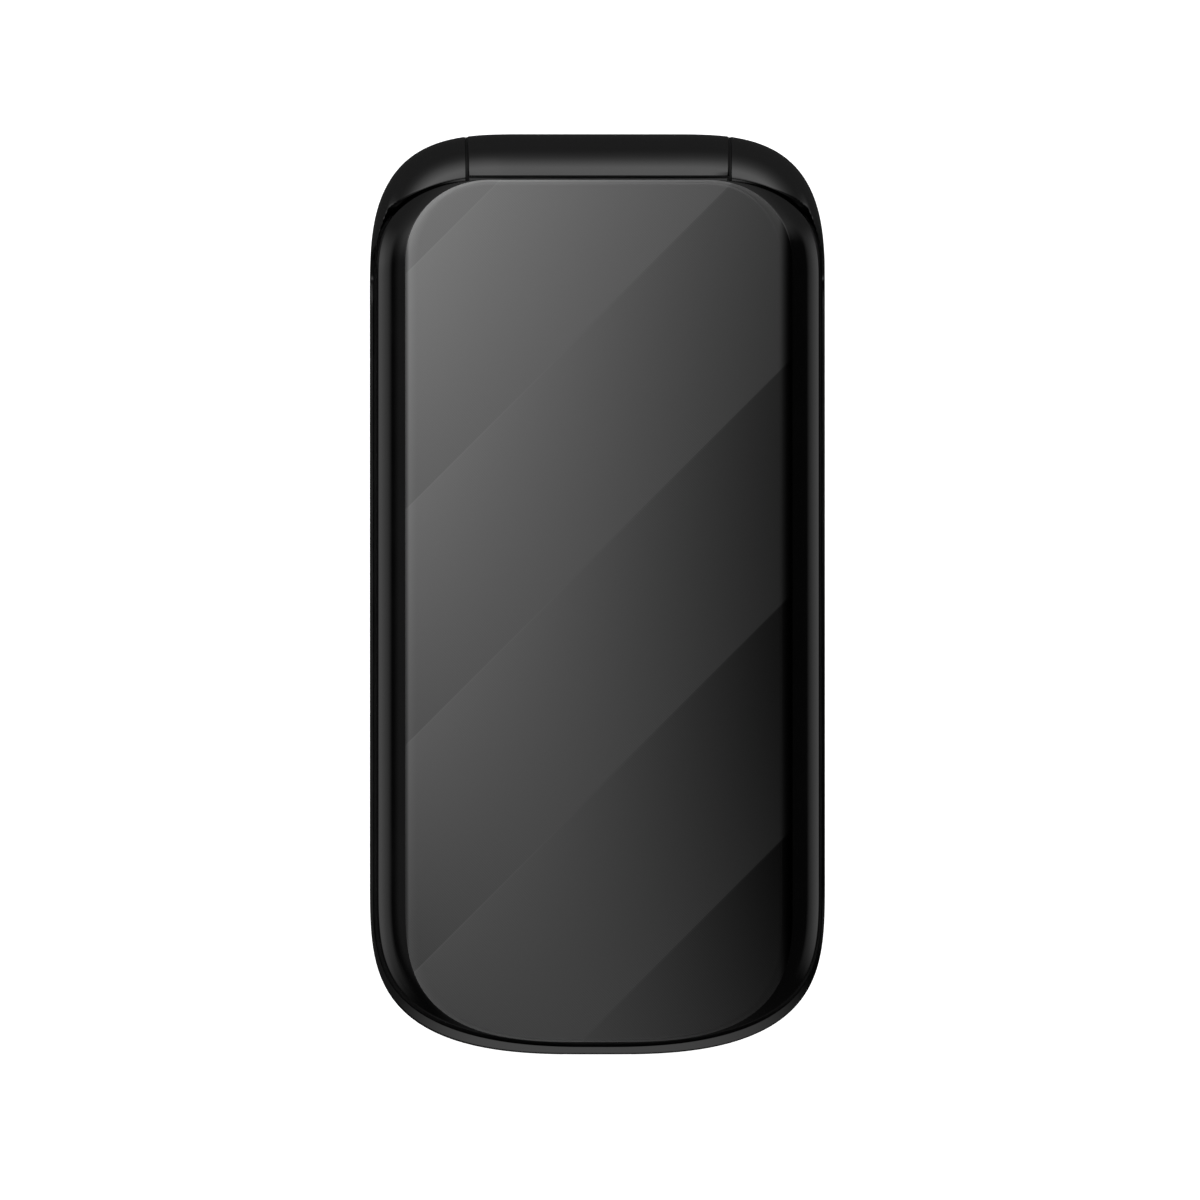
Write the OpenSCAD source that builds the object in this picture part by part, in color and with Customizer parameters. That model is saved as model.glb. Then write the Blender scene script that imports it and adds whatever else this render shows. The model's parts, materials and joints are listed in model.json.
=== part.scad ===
// Clamshell mobile phone, lying closed on its back.
// X runs across it, +Y points to the hinge, +Z points up out of the lid.
// The origin lies under the middle of the closed body, on the surface it rests on.

/* [Outline] */
// Width across the base
base_w = 51.4; // [50:0.2:55]
// Length from the free end to the back of the hinge barrel
base_l = 104; // [103:0.5:108]
// Length of the base's rounded corner at the hinge end
base_hinge_corner_l = 18.4; // [15:0.2:20]
// Length of the base's bowed free end
base_free_corner_l = 20.6; // [18:0.2:22]
// Step from the base's side to the lid's side
lid_side_step = 0.65; // [0.6:0.05:1.2]
// Step from the base's free end to the lid's free end
lid_end_step = 1.18; // [1:0.02:1.8]
// Width of the lid's rounded side, from its edge to the window
lid_side_round = 3.18; // [2.4:0.01:3.4]
// Width of the lid's frame at its two ends
lid_end_frame = 0.12; // [0.1:0.02:0.4]

/* [Base stack] */
// Floor of the battery cover and of the hinge end
cover_t = 1.0; // [0.8:0.1:1.4]
// Height of the battery cover's side
cover_side_h = 2.8; // [2.2:0.1:3]
// Distance from the hinge axis to the cover's straight edge
cover_edge_back = 17.4; // [16:0.1:19]
// Rounding of the rear edge, across
rear_round = 4.5; // [3:0.1:5]
// Rounding of the rear edge, upwards
rear_rise = 5.5; // [4.5:0.1:6]
// Wall of the housings
wall = 1.2; // [1:0.1:1.4]
// Room beside the battery, from the base's side
battery_side = 7.7; // [7.6:0.1:9.5]
// Room beyond the battery, from the base's free end
battery_free = 27.8; // [27.6:0.1:32]
// Battery thickness
battery_t = 4.6; // [4.2:0.1:5.2]
// Distance from the hinge axis to the battery
battery_back = 18.6; // [18.4:0.1:20]
// Roof of the battery bay
bay_roof_t = 0.8; // [0.6:0.1:1]
// Thickness of the main board
board_t = 0.8; // [0.6:0.1:1]
// Thickness of the dome sheet
dome_t = 0.2; // [0.15:0.05:0.3]
// Thickness of the silicone keypad mat
mat_t = 0.2; // [0.15:0.05:0.3]
// Thickness of the deck that the keys come through
deck_t = 0.8; // [0.7:0.1:1]
// How far the deck lies below the rim
deck_recess = 0.4; // [0.3:0.1:0.6]
// Height of the lip that stands on the rim round the closed lid
lip_h = 0.7; // [0.5:0.1:0.9]

/* [Keys] */
// Travel of every key
key_travel = 0.3; // [0.2:0.05:0.4]
// Room beside the key field, from the base's side
key_side = 3.6; // [3.4:0.1:4.4]
// Room between number keys across
key_gutter = 1.7; // [1.5:0.1:2.4]
// Room between number keys along the phone
row_gutter = 2; // [1.8:0.1:2.6]
// Distance from the hinge axis to the number keys
key_field_back = 40.65; // [40.4:0.05:42]
// Room beyond the number keys, from the base's free end
key_field_free = 10.75; // [10.6:0.05:12]
// Corner radius of the keys
key_corner = 2.2; // [1:0.1:3]
// Length of the soft, call and end keys
side_key_l = 7; // [5.5:0.1:7.5]
// Room between the navigation ring and the keys beside it
nav_gutter = 0.8; // [0.7:0.1:1.6]
// Half the distance between the soft keys and the call and end keys
side_key_spread = 8.5; // [8.2:0.1:9]
// Outer radius of the navigation ring
nav_r = 10.3; // [9:0.1:10.4]
// Radius of the round key inside the ring
ok_r = 4.7; // [4:0.1:5]
// Distance from the hinge axis to the ring's centre
nav_back = 24.4; // [24:0.1:25]
// Largest tilt of the navigation ring
nav_tilt = 1.5; // [1:0.1:1.6]

/* [Hinge] */
// Radius of the hinge barrel
hinge_r = 4.6; // [4.5:0.05:4.7]
// Width of the lid's part of the barrel
barrel_w = 29.6; // [27:0.2:31]
// Seam between the barrel and each shoulder
seam = 0.15; // [0.1:0.05:0.25]
// Largest opening angle of the lid
open_angle = 160; // [140:5:165]
// Outer radius of the friction cartridge and of the hollow bush
cartridge_r = 2.9; // [2.6:0.05:3]
// Length of the friction cartridge
cartridge_l = 13; // [11:0.5:13]
// Radius of the hinge shaft
shaft_r = 1.2; // [1:0.05:1.4]
// Running clearance of turning pieces, radial
run_gap = 0.05; // [0.02:0.01:0.08]
// Clearance round pieces that are pressed or glued in, radial
seat_gap = 0.02; // [0.01:0.01:0.04]
// Clearance between the lid and what it turns past
swing_gap = 0.3; // [0.25:0.05:0.4]

/* [Lid stack] */
// Gap between the closed lid and the rim
lid_gap = 0.4; // [0.3:0.05:0.5]
// How far the display lens lies inside the lid's inner face
lens_recess = 0.2; // [0.1:0.05:0.3]
// Thickness of the display lens
lens_t = 0.8; // [0.6:0.1:1]
// Room beside the display lens, from the lid's side
lens_side = 3.4; // [3.2:0.1:5]
// Distance from the hinge axis to the display lens
lens_back = 12.4; // [12.2:0.1:14]
// Room beyond the display lens, from the lid's free end
lens_free = 9.72; // [9.6:0.02:12]
// Ledge that carries the lens
ledge_t = 0.4; // [0.3:0.05:0.6]
// Thickness of the display panel
lcd_t = 1.0; // [0.8:0.1:1.2]
// Room beside the display panel, from the lens's side
lcd_side = 1; // [0.8:0.1:2.5]
// Room beyond the display panel, from each end of the lens
lcd_end = 9.5; // [9:0.1:12]
// Thickness of the backlight
backlight_t = 1.25; // [1:0.05:1.4]
// Thickness of the lid's circuit board
lid_board_t = 0.6; // [0.5:0.1:0.8]
// Thickness of the stiffening plate behind the board
midframe_t = 0.5; // [0.4:0.1:0.6]
// Space between the stiffening plate and the lid's skin
skin_space = 1.05; // [0.6:0.05:1.2]
// Skin of the lid under the window
skin_t = 0.85; // [0.7:0.05:1]
// Thickness of the patterned window
window_t = 0.8; // [0.6:0.1:1]
// Height of the lid's rounded side
lid_round_h = 2.4; // [2.2:0.1:4.6]

/* [Openings] */
// Width of the charging port's shell
usb_w = 7.5; // [7.3:0.1:7.7]
// Height of the charging port's shell
usb_h = 2.5; // [2.4:0.1:2.6]
// Depth of the charging port's shell
usb_l = 5.6; // [5:0.1:6]
// Radius of the headphone socket's bore
jack_r = 1.8; // [1.75:0.01:1.85]
// Depth of the headphone socket's bore
jack_depth = 14; // [13:0.5:14.5]
// Radius of the camera's window
camera_r = 3.2; // [2.6:0.1:3.6]
// Radius of the flash's window
flash_r = 1.3; // [1:0.1:1.5]

/* [Hidden] */

eps = 0.01;
far = 200;
corner_steps = 12;
round_fn = 48;
small_fn = 28;

// Clearances inside the housings
part_gap = 0.2;     // between a glued or screwed piece and its neighbour
loose_gap = 0.3;    // between a loose piece and its neighbour
touch_gap = 0.05;   // between pieces that meet when closed or pressed

// Heights of the base's stack, from the rear face up
half_w = base_w / 2;
half_l = base_l / 2;
battery_z = cover_t + loose_gap;
bay_roof_z = battery_z + battery_t + part_gap;
board_z = bay_roof_z + bay_roof_t + part_gap;
dome_z = board_z + board_t;
dome_rise = 0.1;
mat_z = dome_z + dome_t + dome_rise;
flange_t = 0.3;
flange_z = mat_z + mat_t + key_travel + touch_gap;
deck_z = flange_z + flange_t + touch_gap;
deck_top = deck_z + deck_t;
base_top = deck_top + deck_recess;
key_rise = 0.45;
key_top = deck_top + key_rise;

// Heights of the lid's stack
lid_z = base_top + lid_gap;
lens_z = lid_z + lens_recess;
ledge_z = lens_z + lens_t;
inner_plate_top = ledge_z + ledge_t;
lid_split_z = inner_plate_top + 0.5;
lcd_z = inner_plate_top + 0.1;
backlight_z = lcd_z + lcd_t + touch_gap;
lid_board_z = backlight_z + backlight_t + loose_gap;
midframe_z = lid_board_z + lid_board_t + part_gap;
skin_z = midframe_z + midframe_t + skin_space;
window_z = skin_z + skin_t;
lid_top = window_z + window_t;
lid_round_z = window_z - lid_round_h;

// Hinge line
under_skin = 0.35;
hinge_y = half_l - hinge_r;
hinge_z = skin_z - under_skin - hinge_r;
trough_r = hinge_r + swing_gap;
trough_wall = 1.1;
split_z = hinge_z - trough_r - trough_wall;
barrel_x = barrel_w / 2;
shoulder_x = barrel_x + seam;
lid_swing_r = skin_z - hinge_z;
fold_back = 180 - open_angle;

// Notch behind the hinge that takes the open lid's end
notch_y = hinge_y + lid_swing_r * sin(fold_back) - under_skin;
notch_z = hinge_z - (lid_top - hinge_z) * cos(fold_back) - swing_gap;

// Outlines: corners are [reach across, reach along, power across, power along]
free_flat = 1;
base_hinge_corner = [17.5, base_hinge_corner_l, 3.19, 3.19];
base_free_corner = [half_w - free_flat, base_free_corner_l, 2.75, 3.67];
lid_half_w = half_w - lid_side_step;
lid_hinge_back = 0.6;
lid_hinge_end = hinge_y - lid_hinge_back;
lid_free_end = half_l - lid_end_step;
lid_hinge_corner = [15.9, 11.45, 2.75, 2.75];
lid_free_corner = [lid_half_w - free_flat, 18.9, 2.38, 3.69];
window_half_w = lid_half_w - lid_side_round;
window_hinge_end = lid_hinge_end - lid_end_frame;
window_free_end = lid_free_end - lid_end_frame;
window_hinge_corner = [9.8, 9.6, 2.13, 2.13];
window_free_corner = [window_half_w - free_flat, 15.9, 2.65, 2.74];
window_edge_rise = 0.6;
window_edge_side = 1.3;
window_edge_end = 0.3;

// Places in the base
battery_w = base_w - 2 * battery_side;
battery_l = hinge_y - battery_back + half_l - battery_free;
key_w = (base_w - 2 * key_side - 2 * key_gutter) / 3;
key_l = (hinge_y - key_field_back + half_l - key_field_free - 3 * row_gutter) / 4;
key_pitch_x = key_w + key_gutter;
key_pitch_y = key_l + row_gutter;
side_key_w = half_w - key_side - nav_r - nav_gutter;
side_key_x = half_w - key_side - side_key_w / 2;
cover_edge_y = hinge_y - cover_edge_back;
battery_y = hinge_y - battery_back - battery_l;
bay_wall = 0.8;
inner_floor_z = cover_side_h + part_gap;
inner_floor_t = 0.8;
side_inset = rear_inset(inner_floor_z) + wall;
board_end_y = hinge_y - trough_r - wall - 0.1;
deck_inset = 2.2;
keypad_end_y = -half_l + key_field_free - 0.35;
flex_landing = 3;
screw_r = 0.8;
screw_head_r = 1.4;
screw_head_t = 0.8;
screw_boss_r = 2.1;
post_x = half_w - 4.9;
free_post_x = half_w - 8.7;
free_post_y = -half_l + 7.5;
screw_points = [[post_x, nav_y()], [-post_x, nav_y()],
                [free_post_x, free_post_y], [-free_post_x, free_post_y]];
jack_y = hinge_y - 11.4;
jack_block = 5;
jack_z = board_z - jack_block / 2;
jack_collar_r = 2.4;
jack_mouth_x = half_w - 1;
camera_side = 7.4;
camera_y = board_end_y - camera_side / 2 - part_gap;
speaker_w = 13;
speaker_l = 11;
speaker_x = speaker_w / 2 + 4.8 - half_w;
speaker_y = hinge_y - 9.4;
usb_z = board_z - usb_h - 0.1;
mic_y = -half_l + 5.5;
mic_hole_r = 0.5;
hall_x = 12;

// Places in the lid
lens_w = 2 * (lid_half_w - lens_side);
lens_l = hinge_y - lens_back + lid_free_end - lens_free;
lens_y = (hinge_y - lens_back - lid_free_end + lens_free) / 2;
lens_corner = 4;
lcd_w = lens_w - 2 * lcd_side;
lcd_l = lens_l - 2 * lcd_end;
lcd_y = lens_y + 2;
view_side = 1.5;
view_end = 2.5;
view_w = lcd_w - 2 * view_side;
view_l = lcd_l - 2 * view_end;
lid_boss_r = 2;
lid_free_post_x = lid_half_w - 7.1;
lid_free_post_y = -lid_free_end + 7.7;
lid_post_x = lid_half_w - 5.3;
lid_post_y = hinge_y - 9.2;
lid_screw_points = [[lid_free_post_x, lid_free_post_y], [-lid_free_post_x, lid_free_post_y],
                    [lid_post_x, lid_post_y], [-lid_post_x, lid_post_y]];
earpiece_y = -lid_free_end + 5.2;
bumper_y = -lid_free_end + 3.6;
bumper_x = 11;
bumper_r = 1.2;

// Colours
black_gloss = "#1b1b1d";
black_matt = "#232326";
graphite = "#3a3a3d";
steel = "#9a9da1";
board_green = "#1e5a3a";
gold = "#b9954a";
lens_black = "#101012";
rubber_grey = "#4a4a4c";

// ---- Functions ----

function rear_inset(z) = z >= rear_rise ? 0 : rear_round * (1 - sqrt(1 - pow(1 - z / rear_rise, 2)));

function nav_y() = hinge_y - nav_back;

function mix(a, b, f) = a * (1 - f) + b * f;

function shrink(c, across, along) = [c[0] - across, c[1] - along, c[2], c[3]];

// One rounded corner as a quarter of a superellipse, from its side to its end
function quarter(c) = [
    for (i = [0:corner_steps])
        let (t = 90 * i / corner_steps)
        [c[0] * pow(cos(t), 2 / c[2]), c[1] * pow(sin(t), 2 / c[3])]
];

// Closed outline, counter-clockwise from the right side of the hinge end
function outline(w, hinge_end, free_end, hc, fc) =
    let (h = [for (p = quarter(hc)) [w - hc[0] + p[0], hinge_end - hc[1] + p[1]]],
         f = [for (p = quarter(fc)) [w - fc[0] + p[0], fc[1] - free_end - p[1]]])
    concat(h,
           [for (i = [corner_steps:-1:0]) [-h[i][0], h[i][1]]],
           [for (p = f) [-p[0], p[1]]],
           [for (i = [corner_steps:-1:0]) f[i]]);

function base_ring(s) = outline(half_w - s, half_l - s, half_l - s,
    shrink(base_hinge_corner, s, s), shrink(base_free_corner, s, s));

// The lid's outline, from its lower edge (f = 0) to the window's edge (f = 1)
function lid_ring(f, across = 0, along = 0) = outline(
    mix(lid_half_w, window_half_w, f) - across,
    mix(lid_hinge_end, window_hinge_end, f) - along,
    mix(lid_free_end, window_free_end, f) - along,
    shrink(mix(lid_hinge_corner, window_hinge_corner, f), across, along),
    shrink(mix(lid_free_corner, window_free_corner, f), across, along));

// Rectangle with round corners, centred
function rounded(w, l, r, n = 5) = [
    for (q = [0:3]) for (i = [0:n])
        let (a = 90 * (q + i / n), sx = q == 0 || q == 3 ? 1 : -1, sy = q < 2 ? 1 : -1)
        [sx * (w / 2 - r) + r * cos(a), sy * (l / 2 - r) + r * sin(a)]
];

// ---- Shared shapes ----

// Skin through rings of equal point count, at rising heights
module loft(heights, rings) {
    n = len(rings[0]);
    m = len(rings);
    polyhedron(
        points = [for (k = [0:m - 1]) for (p = rings[k]) [p[0], p[1], heights[k]]],
        faces = concat(
            [[for (i = [0:n - 1]) i]],
            [[for (i = [n - 1:-1:0]) (m - 1) * n + i]],
            [for (k = [0:m - 2]) for (i = [0:n - 1])
                [k * n + i, (k + 1) * n + i, (k + 1) * n + (i + 1) % n]],
            [for (k = [0:m - 2]) for (i = [0:n - 1])
                [k * n + i, (k + 1) * n + (i + 1) % n, k * n + (i + 1) % n]]));
}

module slab(z0, z1, points) {
    translate([0, 0, z0]) linear_extrude(z1 - z0) polygon(points);
}

// Box from one corner to the other
module block(low, high) {
    translate(low) cube(high - low);
}

module disc(x, y, z0, z1, r, fn = round_fn) {
    translate([x, y, z0]) cylinder(r = r, h = z1 - z0, $fn = fn);
}

module plate(x, y, z0, z1, w, l, r) {
    translate([x, y, 0]) slab(z0, z1, rounded(w, l, r));
}

// Round bar along X on the hinge axis
module axle(x0, x1, r, fn = round_fn) {
    translate([x0, hinge_y, hinge_z]) rotate([0, 90, 0]) cylinder(r = r, h = x1 - x0, $fn = fn);
}

// ---- Base housings ----

// Rear shape of the base with its rounded edge, up to a height
module rear_form(top) {
    angles = [90, 72, 54, 36, 18, 0];
    below = [for (a = angles) if (rear_rise * (1 - sin(a)) < top - eps) a];
    loft(concat([for (a = below) rear_rise * (1 - sin(a))], [top]),
         concat([for (a = below) base_ring(rear_round * (1 - cos(a)))], [base_ring(rear_inset(top))]));
}

// Front shape of the base, rounded over the hinge all along the outline
module front_form() {
    angles = [0, 15, 30, 45, 60, 75, 90];
    loft(concat([split_z], [for (a = angles) hinge_z + hinge_r * sin(a)]),
         concat([base_ring(0)], [for (a = angles) base_ring(hinge_r * (1 - cos(a)))]));
}

// Everything above the rim that the shoulders may fill: discs about the hinge axis,
// which widen outside the lid's corners
module shoulder_room() {
    corner = [for (i = [corner_steps:-1:0]) lid_ring(0, -swing_gap, -swing_gap)[i]];
    profile = concat(
        [[0, shoulder_x], [hinge_r, shoulder_x]],
        [for (p = corner) if (hinge_y - p[1] > hinge_r + eps) [hinge_y - p[1], p[0]]],
        [[hinge_y - corner[corner_steps][1], half_w + 1], [0, half_w + 1]]);
    for (side = [0, 1])
        mirror([side, 0, 0])
            translate([0, hinge_y, hinge_z])
                rotate([0, 90, 0])
                    rotate_extrude($fn = 96) polygon(profile);
}

// Long run from the lip up to the shoulders' full height
module shoulder_taper() {
    start_y = lid_hinge_end - lid_hinge_corner[1];
    run = 8;
    low = base_top + lip_h;
    height = hinge_z + hinge_r + 1 - low;
    curve = [for (i = [0:8]) [start_y + run * i / 8, low + height * (1 - cos(180 * i / 8)) / 2]];
    rotate([90, 0, 90])
        translate([0, 0, -half_w - 1])
            linear_extrude(base_w + 2)
                polygon(concat([[start_y, 0]], curve, [[half_l + 1, low + height], [half_l + 1, 0]]));
}

module rear_cavity() {
    low_inset = rear_inset(cover_t) + wall;
    hinge_inset = rear_inset(inner_floor_z) + wall;
    // Free end and sides, above the inner floor
    intersection() {
        slab(inner_floor_z + inner_floor_t, split_z + 1, base_ring(side_inset));
        block([-far, -far, 0], [far, cover_edge_y, far]);
    }
    // Hinge end, down to the rear floor
    intersection() {
        union() {
            slab(cover_t, inner_floor_z, base_ring(low_inset));
            slab(inner_floor_z - eps, split_z + 1, base_ring(hinge_inset));
        }
        block([-far, cover_edge_y + part_gap + wall, 0], [far, notch_y - wall, far]);
    }
}

module battery_bay(grow, z0, z1) {
    block([-battery_w / 2 - grow, battery_y - grow, z0],
          [battery_w / 2 + grow, battery_y + battery_l + grow, z1]);
}

module camera_hole() disc(0, camera_y, -1, cover_t + 1, camera_r + seat_gap);

module flash_hole() disc(flash_x(), camera_y, -1, cover_t + 1, flash_r + seat_gap, small_fn);

function flash_x() = camera_r + flash_r + 2;

module speaker_slots() {
    slots = 5;
    pitch = 1.8;
    slot_l = 0.8;
    for (i = [0:slots - 1])
        plate(speaker_x, speaker_y + (i - (slots - 1) / 2) * pitch, -1, cover_t + 1,
              speaker_w - 5, slot_l, 0.39);
}

module usb_opening() {
    plate_gap = 0.15;
    block([-usb_w / 2 - plate_gap, -half_l - 1, usb_z - plate_gap],
          [usb_w / 2 + plate_gap, -half_l + usb_l, board_z + eps]);
}

module jack_opening() {
    translate([half_w - wall - 3, jack_y, jack_z])
        rotate([0, 90, 0]) cylinder(r = jack_collar_r + part_gap, h = wall + 4, $fn = round_fn);
}

module base_rear_housing() color(black_matt) difference() {
    union() {
        difference() {
            rear_form(split_z);
            rear_cavity();
            // Room for the battery cover
            block([-far, -far, -1], [far, cover_edge_y + part_gap, inner_floor_z]);
        }
        battery_bay(loose_gap + bay_wall, inner_floor_z, bay_roof_z + bay_roof_t);
        for (p = screw_points)
            disc(p[0], p[1], inner_floor_z, board_z - part_gap, screw_boss_r, small_fn);
    }
    battery_bay(loose_gap, -1, bay_roof_z);
    // Notch for the open lid
    block([-far, notch_y, notch_z], [far, far, far]);
    for (p = screw_points) {
        disc(p[0], p[1], 0, far, screw_r + part_gap, small_fn);
        disc(p[0], p[1], 0, inner_floor_z + screw_head_t + part_gap, screw_head_r + part_gap, small_fn);
    }
    card_room(sim_card, part_gap);
    card_room(memory_card, part_gap);
    connector_room(part_gap);
    camera_hole();
    flash_hole();
    speaker_slots();
    usb_opening();
    jack_opening();
}

module base_front_housing() color(black_gloss) difference() {
    union() {
        difference() {
            front_form();
            // Space of the lid, inside the lip and above it, except the two shoulders
            difference() {
                union() {
                    block([-far, -far, base_top + lip_h], [far, far, far]);
                    slab(base_top, far, lid_ring(0, -swing_gap, -swing_gap));
                }
                intersection() {
                    shoulder_room();
                    shoulder_taper();
                }
            }
            // Space of the boards and keys
            intersection() {
                slab(split_z - 1, deck_z, base_ring(wall + part_gap));
                block([-far, -far, 0], [far, board_end_y + part_gap, far]);
            }
            // Recess of the deck
            intersection() {
                slab(deck_top, far, base_ring(deck_inset));
                block([-far, -far, 0], [far, board_end_y + part_gap, far]);
            }
        }
        for (p = screw_points)
            disc(p[0], p[1], board_z + board_t + touch_gap, deck_z + eps, screw_boss_r, small_fn);
    }
    // Trough of the lid's barrel
    axle(-shoulder_x, shoulder_x, trough_r, 96);
    block([-shoulder_x, hinge_y - trough_r, hinge_z], [shoulder_x, far, far]);
    // Everything behind the barrel that isn't a shoulder disc
    difference() {
        block([-far, notch_y, 0], [far, far, far]);
        axle(-far, far, hinge_r, 96);
    }
    for (p = screw_points)
        disc(p[0], p[1], 0, deck_z + deck_t / 2, screw_r + seat_gap, small_fn);
    key_holes();
    disc(0, mic_y, 0, far, mic_hole_r, small_fn);
    usb_opening();
    jack_opening();
    hinge_seats();
}

// Bores and the cable's channel in the two shoulders
module hinge_seats() {
    axle(shoulder_x - 1, shoulder_x + shaft_seat + part_gap, shaft_r + seat_gap, small_fn);
    axle(-shoulder_x - bush_seat - part_gap, -shoulder_x + 1, cartridge_r + seat_gap);
    block([-shoulder_x - bush_seat - part_gap, board_end_y - 1, split_z - 1],
          [-shoulder_x - seam_wall, hinge_y, deck_z]);
    block([-shoulder_x - bush_seat - part_gap, flex_rise_y - part_gap, split_z - 1],
          [-shoulder_x - seam_wall, hinge_y, hinge_z]);
}

module battery_cover() color(black_matt) difference() {
    intersection() {
        rear_form(cover_side_h);
        block([-far, -far, -1], [far, cover_edge_y, far]);
    }
    step_z = (cover_t + cover_side_h) / 2;
    slab(cover_t, far, base_ring(rear_inset(cover_t) + wall));
    slab(step_z, far, base_ring(rear_inset(step_z) + wall));
    // The inside is open towards the hinge, so the cover slides off past the battery
    block([-half_w + rear_inset(cover_t) + wall, 0, cover_t],
          [half_w - rear_inset(cover_t) - wall, far, far]);
}

// ---- Base inside ----

module battery() color(graphite)
    translate([0, battery_y + battery_l / 2, 0])
        slab(battery_z, battery_z + battery_t, rounded(battery_w, battery_l, 1.5));

connector_w = 10;
connector_l = 3;
connector_x = 8;
connector_y = battery_y - loose_gap - bay_wall;
connector_z = battery_z + 2.6;

module connector_room(grow) {
    block([connector_x - connector_w / 2 - grow, connector_y - connector_l - grow, connector_z - grow],
          [connector_x + connector_w / 2 + grow, battery_y - loose_gap + eps + grow, far]);
}

module battery_connector() color(gold) {
    contacts = 3;
    pitch = 3;
    block([connector_x - connector_w / 2, connector_y - connector_l, connector_z],
          [connector_x + connector_w / 2, battery_y - loose_gap, board_z]);
    for (i = [0:contacts - 1])
        block([connector_x + (i - 1) * pitch - 0.6, battery_y - loose_gap - eps, connector_z + 0.4],
              [connector_x + (i - 1) * pitch + 0.6, battery_y - touch_gap, connector_z + 1.4]);
}

module main_board() color(board_green) difference() {
    intersection() {
        slab(board_z, dome_z, base_ring(wall + 2 * part_gap));
        block([-far, -half_l + 3.2, 0], [far, board_end_y, far]);
    }
    for (p = screw_points) disc(p[0], p[1], 0, far, screw_r + part_gap, small_fn);
}

module shield_cans() color(steel) {
    can_h = 1.9;
    low_y = -half_l + 8.5;
    high_y = connector_y - connector_l - 1;
    can_w = 12.5;
    can_gap = 1.5;
    block([-can_w - 1, low_y, board_z - can_h], [-1, high_y, board_z]);
    block([can_gap - 1, low_y + 3, board_z - can_h], [can_gap - 1 + can_w - 3.5, high_y, board_z]);
}

module dome_sheet() color(steel) {
    difference() {
        intersection() {
            slab(dome_z, dome_z + dome_t, base_ring(wall + 2 * part_gap + 0.6));
            block([-far, keypad_end_y, 0], [far, board_end_y - flex_landing, far]);
        }
        for (p = screw_points) disc(p[0], p[1], 0, far, screw_boss_r + part_gap, small_fn);
    }
    for (p = press_points()) disc(p[0], p[1], dome_z, mat_z - eps, dome_r(), small_fn);
}

function dome_r() = 1.9;

function number_points() = [
    for (row = [0:3]) for (col = [-1:1])
        [col * key_pitch_x, hinge_y - key_field_back - key_l / 2 - row * key_pitch_y]
];

function side_points() = [
    for (end = [1, -1]) for (side = [-1, 1]) [side * side_key_x, nav_y() + end * side_key_spread]
];

function nav_press() = (nav_r + ok_r) / 2;

function press_points() = concat(number_points(), side_points(), [[0, nav_y()]],
    [for (a = [45:90:315]) [nav_press() * cos(a), nav_y() + nav_press() * sin(a)]]);

module keypad_mat() color(rubber_grey) difference() {
    intersection() {
        slab(mat_z, mat_z + mat_t, base_ring(wall + 2 * part_gap + 0.6));
        block([-far, keypad_end_y, 0], [far, board_end_y - flex_landing, far]);
    }
    for (p = screw_points) disc(p[0], p[1], 0, far, screw_boss_r + part_gap, small_fn);
    for (p = press_points()) disc(p[0], p[1], 0, far, dome_r() + part_gap, small_fn);
}

// Card holders hang from the board through windows in the bay's roof.
// Each is [x, y, width, length, slot width, slot length].
card_y = battery_y + 12;
sim_card = [-9, card_y, 15, 16, 12, 10];
memory_card = [8.5, card_y - 1, 12, 14, 9, 9];
card_slot_h = 0.4;

module card_room(card, grow) {
    z0 = bay_roof_z - part_gap / 2;
    plate(card[0], card[1], z0 - grow, board_z, card[2] + 2 * grow, card[3] + 2 * grow, 0.6);
}

module card_holder(card) difference() {
    card_room(card, 0);
    plate(card[0], card[1], 0, bay_roof_z + card_slot_h, card[4], card[5], 1);
}

module sim_holder() color(steel) card_holder(sim_card);

module memory_card_holder() color(steel) card_holder(memory_card);

module usb_port() color(steel) {
    shell = 0.3;
    tongue_w = 3.8;
    tongue_t = 0.6;
    front_y = -half_l + 0.5;
    difference() {
        block([-usb_w / 2, front_y, usb_z], [usb_w / 2, front_y + usb_l, usb_z + usb_h]);
        block([-usb_w / 2 + shell, front_y - 1, usb_z + shell],
              [usb_w / 2 - shell, front_y + usb_l - 1, usb_z + usb_h - shell]);
    }
    block([-tongue_w / 2, front_y + 0.6, usb_z + usb_h / 2],
          [tongue_w / 2, front_y + usb_l - 0.5, usb_z + usb_h / 2 + tongue_t]);
}

module headphone_jack() color(black_matt) {
    body_end = jack_mouth_x - 2.4;
    back_wall = 0.8;
    difference() {
        union() {
            block([jack_mouth_x - jack_depth - back_wall, jack_y - jack_block / 2, jack_z - jack_block / 2],
                  [body_end, jack_y + jack_block / 2, jack_z + jack_block / 2]);
            translate([body_end - eps, jack_y, jack_z])
                rotate([0, 90, 0])
                    cylinder(r = jack_collar_r, h = jack_mouth_x - body_end + eps, $fn = round_fn);
        }
        translate([jack_mouth_x - jack_depth, jack_y, jack_z])
            rotate([0, 90, 0]) cylinder(r = jack_r, h = jack_depth + 1, $fn = round_fn);
    }
}

module loudspeaker() color(graphite) {
    body_top = cover_t + 3.2;
    magnet_step = 2;
    plate(speaker_x, speaker_y, cover_t + part_gap, body_top, speaker_w, speaker_l, 1.5);
    plate(speaker_x, speaker_y, body_top, body_top + 0.7,
          speaker_w - 2 * magnet_step, speaker_l - 2 * magnet_step, 1.5);
}

module microphone() color(gold)
    block([-1.9, mic_y - 1.4, dome_z], [1.9, mic_y + 1.4, dome_z + 1]);

module camera_module() color(graphite) {
    block([-camera_side / 2, camera_y - camera_side / 2, cover_t + 2.6],
          [camera_side / 2, camera_y + camera_side / 2, board_z - part_gap]);
    disc(0, camera_y, cover_t + part_gap, cover_t + 2.6 + eps, camera_r - 0.4);
}

module camera_window() color(lens_black) {
    disc(0, camera_y, 0.15, cover_t, camera_r);
}

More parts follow.
